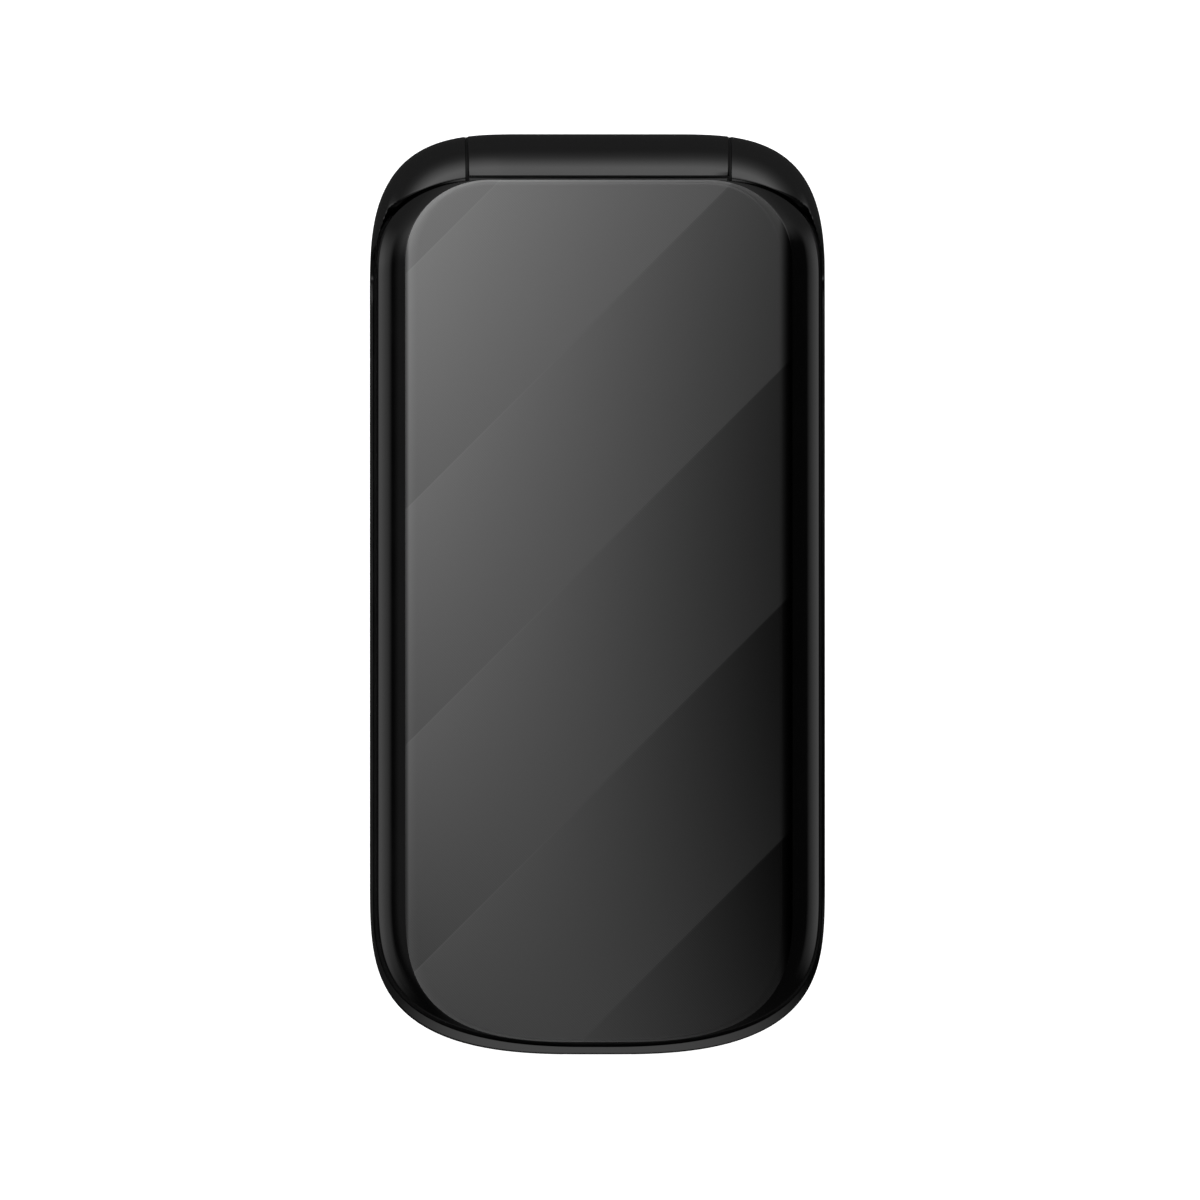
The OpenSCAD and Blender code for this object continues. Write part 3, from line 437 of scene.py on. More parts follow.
cameraData = bpy.data.cameras.new("camera")
cameraData.sensor_width = view["sensor"]
cameraData.lens = view["sensor"] * view["distance"] / view["width"]
cameraData.clip_start, cameraData.clip_end = view["clip"]
camera = placed("camera", cameraData)
lookBack = Vector((-tan(radians(view["leanLeft"])), -tan(radians(view["leanFree"])), 1)).normalized()
camera.location = Vector((view["x"], view["y"], view["height"])) * mm + lookBack * view["distance"] * mm
camera.rotation_euler = Vector((0, 0, 1)).rotation_difference(lookBack).to_euler()
bpy.context.scene.camera = camera
bpy.context.scene.view_settings.view_transform = "Standard"


# Soft studio light, all of it far away and set by direction only: a wide box of light beyond the hinge end,
# a weaker one beyond the free end, a low strip on each side, and darkness high on both sides. The tables give
# light by angle from straight up, in degrees. A pair is where a light starts and where it ends; a third and a
# fourth number are its levels there.

studio = {
    "hingeBox": {
        "peak": 2.2,
        "fall": ((0, 2.2), (20, 2.18), (25, 1.85), (33, 1.36), (38, 1.07), (42, 0.85), (46, 0.68), (50, 0.56),
                 (54, 0.45), (58, 0.38), (62, 0.33), (66, 0.27), (70, 0.24), (76, 0.21), (90, 0.19),
                 (110, 0.13), (135, 0.065), (160, 0.03)),
        "nearEdge": (0.03, 0.07), "left": (-88, -62), "right": (58, 76), "low": (60, 80, 0, 14)},
    "freeBox": {
        "peak": 1.4,
        "fall": ((0, 1.4), (20, 1.4), (30, 0.5), (40, 0.15), (50, 0.1), (70, 0.1), (110, 0.1), (140, 0.05)),
        "nearEdge": (0.02, 0.12), "spread": 50, "rightMore": 18},
    "leftStrip": {
        "peak": 1.25, "centre": -88, "hinge": 26, "free": 44,
        "rise": ((0, 0), (60, 0), (64, 0.25), (68, 0.55), (74, 0.78), (82, 1.2), (90, 1.25), (97, 0.9),
                 (104, 0))},
    "rightStrip": {
        "peak": 1.28, "centre": 88, "hinge": 26, "free": 28,
        "rise": ((0, 0), (65, 0), (70, 0.28), (76, 0.6), (84, 1.05), (90, 1.28), (98, 1.05), (106, 0))},
    "leftGlow": (38, 58, 0.17, 0), "rightGlow": (8, 16, 0.1, 0), "everywhere": 0.012,
    "leftHalf": (0.0, 0.05), "rightHalf": (0.03, 0.08),
}
world = bpy.data.worlds.new("studio")
world.use_nodes = True
bpy.context.scene.world = world
sky = Wire(world.node_tree)
toRight, toHinge, up = sky.make("ShaderNodeTexCoord", output="Generated").split()
fromTop = up.maths("ARCCOSINE", up) * (180 / pi)
compass = toRight.maths("ARCTAN2", toRight, toHinge) * (180 / pi)


def profile(angle, peak, points):
    # light by angle, read off a table of angles and levels
    return angle.make("ShaderNodeValToRGB", {"stops": [(a / 180, level / peak) for a, level in points]},
                      {0: angle / 180}) * peak


def strip(rise, peak, centre, hinge, free):
    # a low strip of light: brightest straight at the side, fading either way round
    aside = (compass - centre) * (1 if centre > 0 else -1)
    return profile(fromTop, peak, rise) * aside.steps(-hinge, 0) * aside.steps(0, free, 1.0, 0.0)


onLeft = (-toRight).steps(*studio["leftHalf"])
onRight = toRight.steps(*studio["rightHalf"])
box = studio["hingeBox"]
lowWider = fromTop.steps(*box["low"])
beyondHinge = (profile(fromTop, box["peak"], box["fall"]) * toHinge.steps(*box["nearEdge"])
               * (compass + lowWider).steps(*box["left"])
               * (compass - lowWider).steps(*box["right"], 1.0, 0.0))
box = studio["freeBox"]
beyondFree = (profile(fromTop, box["peak"], box["fall"]) * (-toHinge).steps(*box["nearEdge"])
              * (180 - abs(compass)).steps(0, box["spread"] + box["rightMore"] * (1 - onLeft), 1.0, 0.0))
glow = (beyondHinge + beyondFree + strip(**studio["leftStrip"]) + strip(**studio["rightStrip"])
        + fromTop.steps(*studio["leftGlow"]) * onLeft + fromTop.steps(*studio["rightGlow"]) * onRight
        + studio["everywhere"])
sky.feed(world.node_tree.nodes["Background"], {"Strength": glow, "Color": (1, 1, 1, 1)})
print("stage ready")

# Finishes, one for each material slot of the record

blackLacquer = lacquer("blackLacquer", 0.0022, 0.1, smudge=0.02, grainDepth=0.0006)
mattBlack = moulded("mattBlackShell", 0.012, 0.42)
satinBlack = moulded("satinBlackDeck", 0.005, 0.45, 0.1, 0.006, gloss=0.15)
keyPlastic = moulded("keyPlastic", 0.018, 0.3, 0.2, 0.004)
ringMetal = metal("ringMetal", (0.36, 0.37, 0.39), 0.3)
siliconeRubber = moulded("siliconeRubber", 0.035, 0.65, 0.3, 0.01)


def printed(name, colour):
    # printed ink with a faint mottle
    paint = Finish(name)
    mottle = paint.grain(0.6, 3.0)
    darker = tuple(c * 0.85 for c in colour)
    return paint.wear(Base_Color=mottle.steps(0.3, 0.7).between(darker + (1,), colour + (1,)),
                      Roughness=mottle.steps(0.3, 0.7, 0.4, 0.55))


legendWhite = printed("legendWhite", (0.62, 0.62, 0.62))
legendGreen = printed("legendGreen", (0.03, 0.42, 0.09))
legendRed = printed("legendRed", (0.5, 0.03, 0.03))
lensBlack = lacquer("lensBlack", 0.004, 0.05, coat=0.5, smudge=0.015)


def boardFinish():
    # green solder mask with fine copper tracks showing through
    paint = Finish("solderMask")
    x, y, z = paint.place()
    tracks = (x.maths("SINE", x * 4.2) * y.maths("SINE", y * 3.6)).steps(0.1, 0.3)
    patches = paint.grain(2.0, 3.0)
    green = patches.steps(0.3, 0.7).between((0.012, 0.075, 0.03, 1), (0.02, 0.105, 0.045, 1))
    colour = (tracks * 0.5).between(green, (0.05, 0.17, 0.06, 1))
    return paint.wear(Base_Color=colour, Roughness=patches.steps(0.3, 0.7, 0.28, 0.42),
                      Normal=paint.bump(tracks, 0.02))


finishes = {
    "black_gloss_shell": blackLacquer,
    "black_matt_shell": mattBlack,
    "lens_black": lensBlack,
    "key_plastic": keyPlastic,
    "ring_metal": ringMetal,
    "battery_wrap": moulded("batteryWrap", 0.09, 0.38, 0.5, 0.006),
    "contact_metal": metal("contactMetal", (0.75, 0.52, 0.22), 0.28),
    "circuit_board": boardFinish(),
    "steel_sheet": metal("steelSheet", (0.55, 0.56, 0.57), 0.33),
    "screw_steel": metal("screwSteel", (0.42, 0.43, 0.45), 0.27, across=(1, 1, 12)),
    "inner_plastic": moulded("innerPlastic", 0.02, 0.45),
    "display_glass": lacquer("displayGlass", 0.012, 0.08, coat=0.6, smudge=0.02),
    "flash_plastic": moulded("flashPlastic", 0.62, 0.35, 0.3, 0.02, 0.85),
    "silicone": siliconeRubber,
}


# Lid

lid = {
    "halfWidth": 25.05, "hingeEnd": 46.8, "freeEnd": 50.82,
    "hingeCorner": (15.9, 11.45, 2.75, 2.75), "freeCorner": (24.05, 18.9, 2.38, 3.69),
    "split": 12.55, "seam": 0.05, "top": 18.0,
    "rings": 24, "ringSpread": 1.4, "edgeRound": 0.22, "edgeDrop": 0.8,
    "slope": 0.364, "endSlope": 1.3, "bendReach": 2.58, "curve": 0.1233, "bendWidth": (0.3, 3.2),
    "wall": 1.2, "hollowTop": 15.5, "hollowOverlap": 0.5, "skin": 17.15, "barrelWall": 0.9,
}
window = {
    "halfWidth": 21.87, "hingeEnd": 46.68, "freeEnd": 50.7,
    "hingeCorner": (9.8, 9.6, 2.13, 2.13), "freeCorner": (20.87, 15.9, 2.97, 2.97),
    "edgeSide": 1.3, "edgeEnd": 0.3, "top": 18.8, "rise": 0.62, "sunk": 0.02, "rings": 20, "ringSpread": 1.5,
    "roundness": 2.2, "flatInset": 0.3,
}
hinge = {
    "y": 47.4, "z": 12.2, "radius": 4.6, "barrelHalf": 14.8, "seam": 0.26, "swing": 4.95, "rearStart": 48.74,
    "crestStart": 47.55, "crestSlope": 1.5, "grooveStart": 47.16, "grooveFloor": 15.6, "grooveWide": 0.5,
    "grooveSteep": 0.02, "brow": 0.06, "soft": 0.2, "softBefore": 0.04, "stations": 16,
    "arc": (88.13, 308.13, 160), "washer": (14.6, 15.02, 4.25), "edgeFrom": 40,
}


def lidPlan(share, across=0.0, along=0.0):
    # the lid's outline, from its edge (share 0) to the window's edge (share 1)
    def mix(low, high):
        if isinstance(low, tuple):
            return tuple(mix(a, b) for a, b in zip(low, high))
        return low * (1 - share) + high * share
    return shrunk([mix(*pair) for pair in zip(planOf(lid), planOf(window))], across, along)


def lidRing(share, across=0.0, along=0.0):
    return outline(lidPlan(share, across, along))


def crownHeight(points):
    # the lid falls away from the window in an even slope, and bends down along its own edge
    def reach(share, squeeze):
        path = lidRing(share)
        return distanceTo(points * squeeze, np.vstack([path, path[:1]]) * squeeze)
    away = reach(1, np.array([1, lid["endSlope"]]))
    toEdge = reach(0, np.array([1, 1]))
    start, end = lid["bendWidth"]
    share = np.clip((away + toEdge - start) / (end - start), 0, 1)
    bend = lid["curve"] * share * share * (3 - 2 * share)
    return lid["top"] - lid["slope"] * away - bend * np.maximum(lid["bendReach"] - toEdge, 0) ** 2


def hingeRod(name, start, end, radius):
    # a plain cylinder about the hinge's axis
    return turned(name, [(start, radius), (end, radius)], hinge["y"], hinge["z"])


def lidShell():
    # side wall and crown, hollow below, with its corners cut free of the shoulders
    rings = [level(lidRing(0), lid["split"] + lid["seam"])]
    width = lid["halfWidth"] - window["halfWidth"]
    for i in range(lid["rings"] + 1):
        share = (i / lid["rings"]) ** lid["ringSpread"]
        drop = lid["edgeRound"] * max(0, 1 - share * width / lid["edgeRound"]) ** 2 * lid["edgeDrop"]
        ring = lidRing(share)
        rings.append([(x, y, z - drop) for (x, y), z in zip(ring, crownHeight(ring))])
    shell = loft("lidShell", rings)
    wall, swing, half, top = lid["wall"], hinge["swing"], hinge["barrelHalf"], lid["hollowTop"]
    hollow = [slab("hollow", lidRing(0, wall, wall), lid["split"] - 1, top),
              slab("hollow", lidRing(0, 2 * wall, wall), top - lid["hollowOverlap"], lid["skin"])]
    hollow = [carve(part, [hingeRod("spare", -far, far, swing + lid["barrelWall"])]) for part in hollow]
    ends = [hingeRod("end", side * half, side * far, swing) for side in (-1, 1)]
    barrelSpace = hingeRod("barrelSpace", -half, half, hinge["grooveFloor"] - hinge["z"])
    return carve(shell, hollow + ends + [barrelSpace])


def barrel():
    # centre of the hinge: round, slimmer toward its softly broken ends, with a nearly flat crest and a groove
    # before the lid
    half, soft, brow = hinge["barrelHalf"], hinge["soft"], hinge["brow"]
    first, sweep, steps = hinge["arc"]
    edge = baseRing(0)
    edge = edge[(edge[:, 0] >= 0) & (edge[:, 1] > hinge["edgeFrom"])][::-1]

    def section(size):
        points = []
        for i in range(steps + 1):
            turn = radians(first - i * sweep / steps)
            points.append((hinge["y"] + size * cos(turn), hinge["z"] + size * sin(turn)))
        crest = points[0][1]
        groove = hinge["grooveStart"]
        rise = (points[0][0] - groove) * tan(radians(hinge["crestSlope"]))
        points += [(groove - hinge[key], hinge["grooveFloor"]) for key in ("grooveWide", "grooveSteep")]
        points += [(groove, crest + rise - brow), (groove + brow, crest + rise)]
        return points

    even = list(np.linspace(0, half - soft - hinge["softBefore"], hinge["stations"]))
    reach = [(x, 0.0) for x in even + [half - soft]]
    for turn in range(15, 91, 15):
        reach.append((half - soft + soft * sin(radians(turn)), soft - soft * cos(radians(turn))))
    sizes = [(x, hinge["radius"] - less - base["hingeEnd"] + float(np.interp(x, edge[:, 0], edge[:, 1])))
             for x, less in reach]
    stations = [(-x, r) for x, r in reversed(sizes)] + sizes[1:]
    return loft("hingeBarrel", [[(x, y, z) for y, z in section(r)] for x, r in stations])


def windowPane():
    # clear pane with a slim curved edge: wide at the sides, tight at the ends
    side, end, flat = window["edgeSide"], window["edgeEnd"], window["flatInset"]
    rings = [level(lidRing(1), lid["top"] - window["sunk"])]
    for i in range(window["rings"] + 1):
        share = (i / window["rings"]) ** window["ringSpread"]
        rise = 1 - (1 - share) ** window["roundness"]
        rings.append(level(lidRing(1, side * share, end * share),
                           window["top"] - window["rise"] + window["rise"] * rise))
    rings.append(level(lidRing(1, side + flat, end + flat), window["top"]))
    return loft("windowPane", rings)


# tones out of 255: the level at the middle of the window, then how it changes across and along it; that
# change, and the slope inside each stripe, is a painted reflection of the studio light, while the stripe
# edges, hairline and hatch are print
bandsAndPaintedSheen = {
    "firstEdge": -57.9, "period": 26.6, "width": 20, "length": 50,
    "left": 100.1, "fallRight": 40.9, "riseUp": 26.6, "bow": 14.5, "skew": 5.1, "step": 5.1,
    "stepRight": 15.8, "ends": -8.6, "twist": -5.5, "twistEnds": -12.2,
    "hairline": 4, "hairWidth": 0.006, "hatch": 2.2, "hatchPitch": 0.3,
    "rightEdgeShade": (0.1, 1.6, 0.15), "leftEdgeShade": (0.5, 0.6), "coat": 0.5, "coatFacing": (0.998, 0.9999),
}


def windowPrintAndSheen():
    # wide diagonal stripes of dark metallic print under a clear satin coat, with a painted reflection over
    # them: brighter at the left and toward the hinge end, and sloping inside each stripe
    paint = Finish("windowPrintAndSheen")
    x, y, z = paint.place()
    across = x / bandsAndPaintedSheen["width"]
    along = y / bandsAndPaintedSheen["length"]
    stripe = (x - y - bandsAndPaintedSheen["firstEdge"]) / bandsAndPaintedSheen["period"]
    stripe = stripe.maths("FRACT", stripe)
    hair = abs(stripe - bandsAndPaintedSheen["hairWidth"]).steps(0, bandsAndPaintedSheen["hairWidth"], 1.0, 0.0)
    hatch = x.maths("SINE", (x + y) * (2 * pi / bandsAndPaintedSheen["hatchPitch"]))
    # painted reflection: the tone falls to the right, rises toward the hinge end, bows and slopes inside each
    # stripe, as the studio light's reflection would; the jump at each stripe edge, the hairline and the hatch
    # are print
    tone = (bandsAndPaintedSheen["left"] - bandsAndPaintedSheen["fallRight"] * across + bandsAndPaintedSheen["riseUp"] * along
            - bandsAndPaintedSheen["bow"] * across * across - bandsAndPaintedSheen["skew"] * across * along
            - (bandsAndPaintedSheen["step"] + bandsAndPaintedSheen["stepRight"] * across) * (0.5 - stripe)
            - along * (bandsAndPaintedSheen["ends"] * along + bandsAndPaintedSheen["twist"] * across * across
                       + bandsAndPaintedSheen["twistEnds"] * across * along)
            + bandsAndPaintedSheen["hairline"] * hair + bandsAndPaintedSheen["hatch"] * hatch)
    # painted shade: the tone darkens toward the right side edge and a little at the left one, where the
    # pane's curved edge turns away from the light
    start, wide, dark = bandsAndPaintedSheen["rightEdgeShade"]
    rightEdgeShade = (window["halfWidth"] - start - x).steps(0.0, wide, dark, 1.0)
    wide, dark = bandsAndPaintedSheen["leftEdgeShade"]
    leftEdgeShade = (window["halfWidth"] + x).steps(0.0, wide, dark, 1.0)
    tone = tone * rightEdgeShade * leftEdgeShade / 255
    light = tone.maths("MAXIMUM", tone, 0.01) ** 2.2
    facing = paint.make("ShaderNodeTexCoord", output="Normal").split()[2]
    coat = facing.steps(*bandsAndPaintedSheen["coatFacing"], 0.0, bandsAndPaintedSheen["coat"])
    return paint.wear(Base_Color=light.between((0, 0, 0, 1), (1, 1, 1, 1)), Metallic=0.0, Roughness=0.5,
                      Specular_IOR_Level=0.0, Coat_Weight=coat, Coat_Roughness=0.06, Coat_IOR=1.4)


base = {
    "halfWidth": 25.7, "hingeEnd": 52, "freeEnd": 52, "split": 6.2, "rim": 10.3, "lip": 11.0, "gap": 0.3,
    "hingeCorner": (17.5, 18.4, 3.19, 3.19), "freeCorner": (24.7, 20.6, 2.75, 3.67),
}


def baseRing(less):
    return outline(shrunk(planOf(base), less, less))


def rightPath(plan, start, steps=60):
    # right half of an outline, from x = start at the hinge end to the middle of the free end
    hinge, free = cornerRuns(plan, steps)
    hinge = [(0, plan[1])] + hinge[::-1]
    k = next(i for i, p in enumerate(hinge) if p[0] > start)
    (x0, y0), (x1, y1) = hinge[k - 1], hinge[k]
    hinge = [(start, y0 + (start - x0) / (x1 - x0) * (y1 - y0))] + hinge[k:]
    return np.array(hinge), np.array(free + [(0, -plan[2])])


def evenPath(points, count):
    # the same path with a given number of evenly spaced points
    steps = np.hypot(*np.diff(points, axis=0).T)
    travelled = np.concatenate([[0], np.cumsum(steps)])
    wanted = np.linspace(0, travelled[-1], count)
    return np.stack([np.interp(wanted, travelled, points[:, k]) for k in (0, 1)], axis=1)


def distanceTo(points, path):
    # shortest distance from each point to a path of straight pieces
    a, b = path[:-1], path[1:]
    along = b - a
    best = np.full(len(points), 1e9)
    for k in range(len(a)):
        size = max((along[k] ** 2).sum(), 1e-12)
        t = np.clip(((points - a[k]) @ along[k]) / size, 0, 1)
        best = np.minimum(best, np.hypot(*(points - a[k] - t[:, None] * along[k]).T))
    return best


def softLower(a, b, blend):
    # lower of two heights with a small round between them
    mixed = np.clip(0.5 + 0.5 * (b - a) / blend, 0, 1)
    return b * (1 - mixed) + a * mixed - blend * mixed * (1 - mixed)


def edgeDrop(distance, radius):
    # how far a rounded edge lies below a flat top
    reach = np.clip(radius - distance, 0, radius)
    return radius - np.sqrt(radius ** 2 - reach ** 2)


rim = {
    "radius": 4.8, "radiusLess": 0.8, "radiusTurn": 65, "radiusPower": 1.5,
    "flatFrom": 0.15, "crestOver": 0.1, "taperStart": 35.35, "taperRun": 8, "taperRise": 3.4,
    "sideFrom": 3, "leanSide": 2, "leanFree": 7,
    "creaseBlend": 0.08, "taperBlend": 0.3, "outerEdge": 0.12, "innerEdge": 0.1,
    "hiddenDrop": 0.6, "hiddenRim": 0.3, "lowTop": 12.0,
    "hingePoints": 110, "sidePoints": 24, "topPoints": 34, "innerPoints": 9, "lowPoints": 14,
}


def frontRim():
    # outer wall, lip and shoulders as one skin whose cross-sections run from the outline inwards
    radius = hinge["radius"]
    start = hinge["barrelHalf"] + hinge["seam"]
    gap = base["gap"]
    outerHinge, outerFree = rightPath(planOf(base), start)
    innerHinge, innerFree = rightPath(lidPlan(0, -gap, -gap), start)
    whole = np.concatenate([outerHinge, outerFree])
    turnEnd = rim["taperStart"] - rim["sideFrom"]

    def evened(nearHinge, nearFree, side):
        # hinge end and side with even steps, so that the two outlines pair up point by point
        corner = (side, turnEnd)
        hingePart = evenPath(np.vstack([nearHinge, corner]), rim["hingePoints"])
        sidePart = evenPath(np.vstack([corner, nearFree[0]]), rim["sidePoints"])
        return np.concatenate([hingePart, sidePart[1:], nearFree[1:]])

    outer = evened(outerHinge, outerFree, base["halfWidth"])
    inner = evened(innerHinge, innerFree, lid["halfWidth"] + gap)
    wide = inner - outer
    width = np.hypot(*wide.T)
    lean = np.tan(np.radians(rim["leanSide"] + rim["leanFree"] * (wide[:, 1] / width) ** 2))
    swingAt = np.arange(0, 30, 0.05)
    swing = hinge["y"] - np.interp(swingAt, innerHinge[:, 0], innerHinge[:, 1])
    bearing = np.degrees(np.arccos(np.clip(-wide[:, 1] / width, -1, 1)))
    turn = rim["radiusTurn"]
    radii = radius - rim["radiusLess"] * (np.clip(bearing, 0, turn) / turn) ** rim["radiusPower"]

    def heights(points, lipFall, insideGap, radius):
        # rounded shoulder, cut free of the lid's swing, and running down to the lip in a long ramp
        x, y = points[:, 0], points[:, 1]
        away = distanceTo(points, whole)
        curved = np.minimum(away, radius - rim["flatFrom"])
        crown = hinge["z"] + np.sqrt(np.clip(radius ** 2 - np.clip(radius - curved, 0, radius) ** 2, 0, None))
        flat = (away - curved) * tan(radians(hinge["crestSlope"]))
        crown = crown + flat * (y < hinge["crestStart"] + rim["crestOver"])
        reach = np.maximum(np.interp(x, swingAt, swing), hinge["radius"] if insideGap else rim["radius"])
        disc = reach ** 2 - (hinge["y"] - y) ** 2
        disc = hinge["z"] + np.sqrt(np.clip(disc, 0, None)) - (disc < 0) * 5
        run = np.clip((y - rim["taperStart"]) / rim["taperRun"], 0, 1)
        ramp = base["lip"] + rim["taperRise"] * (1 - np.cos(np.pi * run))
        top = softLower(softLower(crown, disc, rim["creaseBlend"]), ramp, rim["taperBlend"])
        return np.maximum(top * (y > rim["taperStart"]), base["lip"] - lipFall)

    outerShares = (1 - np.cos(np.linspace(0, np.pi, rim["topPoints"]))) / 2
    innerShares = np.linspace(0, 1, rim["innerPoints"])[1:]
    lowShares = np.linspace(1, 0, rim["lowPoints"])
    sections = []
    for i in range(len(outer)):
        p, q = outer[i], inner[i]
        t = np.array([q[0], min(q[1], hinge["y"] - radius)])
        hasShoulder = t[1] < q[1] - 1e-6
        across = p + outerShares[:, None] * (q - p)
        top = heights(across, lean[i] * width[i] * (1 - outerShares), False, radii[i])
        top = (top - edgeDrop(outerShares * width[i], rim["outerEdge"])
               - edgeDrop((1 - outerShares) * width[i], rim["innerEdge"]))
        under = q + innerShares[:, None] * (t - q)
        hidden = np.full(len(under), base["rim"] - rim["hiddenRim"])
        if hasShoulder:
            hidden = heights(under, rim["hiddenDrop"], True, radii[i])
        back = p + lowShares[:, None] * ((t if hasShoulder else q) - p)
        roundUnder = hinge["z"] - np.sqrt(np.clip(radius ** 2 - (back[:, 1] - hinge["y"]) ** 2, 0, None))
        low = np.where(back[:, 1] > hinge["rearStart"], roundUnder, base["split"])
        section = [(*xy, z) for xy, z in zip(across, top)] + [(*xy, z) for xy, z in zip(under, hidden)]
        sections.append(section + [(*xy, min(z, rim["lowTop"])) for xy, z in zip(back, low)])
    mirrored = [[(-x, y, z) for x, y, z in section] for section in reversed(sections)]
    return loft("frontRim", sections + mirrored[1:], smoothBelow=40)


dress(lidShell(), blackLacquer, "lid", "black_gloss_shell", "lid_outer_housing")
dress(barrel(), blackLacquer, "lid", "black_gloss_shell")
dress(windowPane(), windowPrintAndSheen(), "lid", "patterned_window", "lid_window")
print("lid built")


# Base front

# edge, cavity and recess: how far in from the outline, and the y of their hinge end
deck = {
    "edge": (0.3, 48.7), "seam": 0.05, "cavity": (1.4, 41.4), "cavityTop": 9.1,
    "recess": (2.2, 41.4), "face": 9.9, "trough": (15.04, 4.9), "micHole": (-46.5, 0.5),
    "keyGap": 0.4, "ringGap": 0.3,
}
# the port's two far corners; the socket's (x, radius) profile, its y and z, and how many sides it has
openings = {
    "port": ((-3.9, -far, 4.35), (3.9, -46.4, 7.1)), "socket": ([(21, 2.6), (27, 2.6)], 36.0, 4.6, 64),
}
keyPlan = {
    "flange": 1.0, "flangeThick": 0.3, "corner": 2.2, "foot": 8.75,
    # how far in from the cap's side, and at what height
    "edge": [(0, 10.0), (0.05, 10.12), (0.16, 10.21), (0.4, 10.28), (0.9, 10.32), (1.8, 10.34), (2.6, 10.35)],
    "sign": (10.348, 10.356), "signSize": 5.2, "signThick": 0.008, "dash": (3.6, 0.55, 0.25),
}
numberKeys = ["key_1", "key_2", "key_3", "key_4", "key_5", "key_6", "key_7", "key_8", "key_9",
              "key_star", "key_0", "key_hash"]
sideKeys = ["soft_key_left", "soft_key_right", "call_key", "end_key"]


def frontDeck():
    # the face that the keys come through, with the barrel's trough behind it
    edge, cavity, recess = [clipped(baseRing(less), high=end)
                            for less, end in (deck["edge"], deck["cavity"], deck["recess"])]
    plate = slab("frontDeck", edge, base["split"] + deck["seam"], base["rim"])
    reach, radius = deck["trough"]
    cutters = [slab("cavity", cavity, base["split"] - 1, deck["cavityTop"]),
               slab("recess", recess, deck["face"], 12),
               hingeRod("trough", -reach, reach, radius),
               slab("micHole", circle(0, *deck["micHole"], 24), 5, 12)]
    less, gap = keyPlan["flange"], deck["keyGap"]
    for node in numberKeys + sideKeys:
        (x, y, z), (width, length, height) = span(node)
        hole = roundedRectangle(x, y, width - less + gap, length - less + gap, keyPlan["corner"])
        cutters.append(slab("keyHole", hole, 8, 12))
    (x, y, z), size = span("nav_ring")
    cutters.append(slab("ringHole", circle(x, y, size[0] / 2 + deck["ringGap"], 96), 8, 12))
    return carve(plate, cutters + sideOpenings(), flatFaces=True)


def sideOpenings():
    # charging port at the free end, headphone socket in the right side
    return [block("portHole", *openings["port"]), turned("socketHole", *openings["socket"])]


dress(carve(frontRim(), sideOpenings()), blackLacquer, "base", "black_gloss_shell", "base_front_housing")
dress(frontDeck(), satinBlack, "base", "black_gloss_shell", "base_front_housing")
for side, name in ((-1, "washerLeft"), (1, "washerRight")):
    # dull washers in the seams at both ends of the barrel
    start, end, radius = hinge["washer"]
    dress(hingeRod(name, side * start, side * end, radius), satinBlack, "lid", "inner_plastic")
print("base front built")


# Keys

def keyCap(node, extra):
    # flange below the deck, upright sides and a slightly domed top, joined with its printed sign
    (x, y, z), (width, length, height) = span(node)
    flange, foot, corner = keyPlan["flange"], keyPlan["foot"], keyPlan["corner"]
    high = foot + keyPlan["flangeThick"]
    steps = [(-flange / 2, foot), (-flange / 2, high), (0, high)] + keyPlan["edge"]
    cap = cushion(node + "Cap", x, y, width - flange, length - flange, corner, steps, smoothBelow=40)
    mounted(joined(node + "Cap", [painted(cap, keyPlastic)] + extra), node, "key_plastic", node)


def printedShape(name, points, paint):
    # a thin raised print on top of a key
    return painted(slab(name, points, *keyPlan["sign"]), paint)


def printedSign(sign, x, y, paint):
    # a character as a thin raised print
    curve = bpy.data.curves.new("mark", "FONT")
    curve.body = sign
    curve.size = keyPlan["signSize"] * mm
    curve.align_x = "CENTER"
    curve.align_y = "CENTER"
    curve.extrude = keyPlan["signThick"] * mm
    text = placed("mark", curve)
    text.location = (x * mm, y * mm, keyPlan["sign"][0] * mm)
    mesh = finalMesh(text)
    mesh.transform(text.matrix_world)
    bpy.data.objects.remove(text)
    return painted(placed("mark", mesh), paint)


receiver = {"outer": 2.3, "inner": 1.75, "from": 205, "sweep": 130, "steps": 24, "endPlace": (2.05, -0.75),
            "end": (1.25, 1.1, 0.3), "drop": 1.1}


def handset(x, y, lift, paint):
    # a small telephone receiver: a bowed bar with two ends, turned by lift degrees
    start, sweep, steps = receiver["from"], receiver["sweep"], receiver["steps"]

    def arc(radius, start, sweep):
        turns = [radians(start + sweep * i / steps) for i in range(steps + 1)]
        return [(radius * cos(turn), radius * sin(turn)) for turn in turns]

    shapes = [arc(receiver["outer"], start, sweep) + arc(receiver["inner"], start + sweep, -sweep)]
    endX, endY = receiver["endPlace"]
    for side in (-1, 1):
        shapes.append([(side * endX + px, endY + py) for px, py in roundedRectangle(0, 0, *receiver["end"])])
    c, s = cos(radians(lift)), sin(radians(lift))

    def lifted(px, py):
        py = -py - receiver["drop"]
        return x + c * px - s * py, y + s * px + c * py

    return [printedShape("handset", [lifted(*point) for point in shape], paint) for shape in shapes]


signs = dict(zip(numberKeys, "123456789*0#"))
for node in numberKeys + sideKeys:
    x, y, z = span(node)[0]
    if node in signs:
        extra = [printedSign(signs[node], x, y, legendWhite)]
    elif node == "call_key":
        extra = handset(x, y, 35, legendGreen)
    elif node == "end_key":
        extra = handset(x, y, 0, legendRed)
    else:
        extra = [printedShape("dash", roundedRectangle(x, y, *keyPlan["dash"]), legendWhite)]
    keyCap(node, extra)

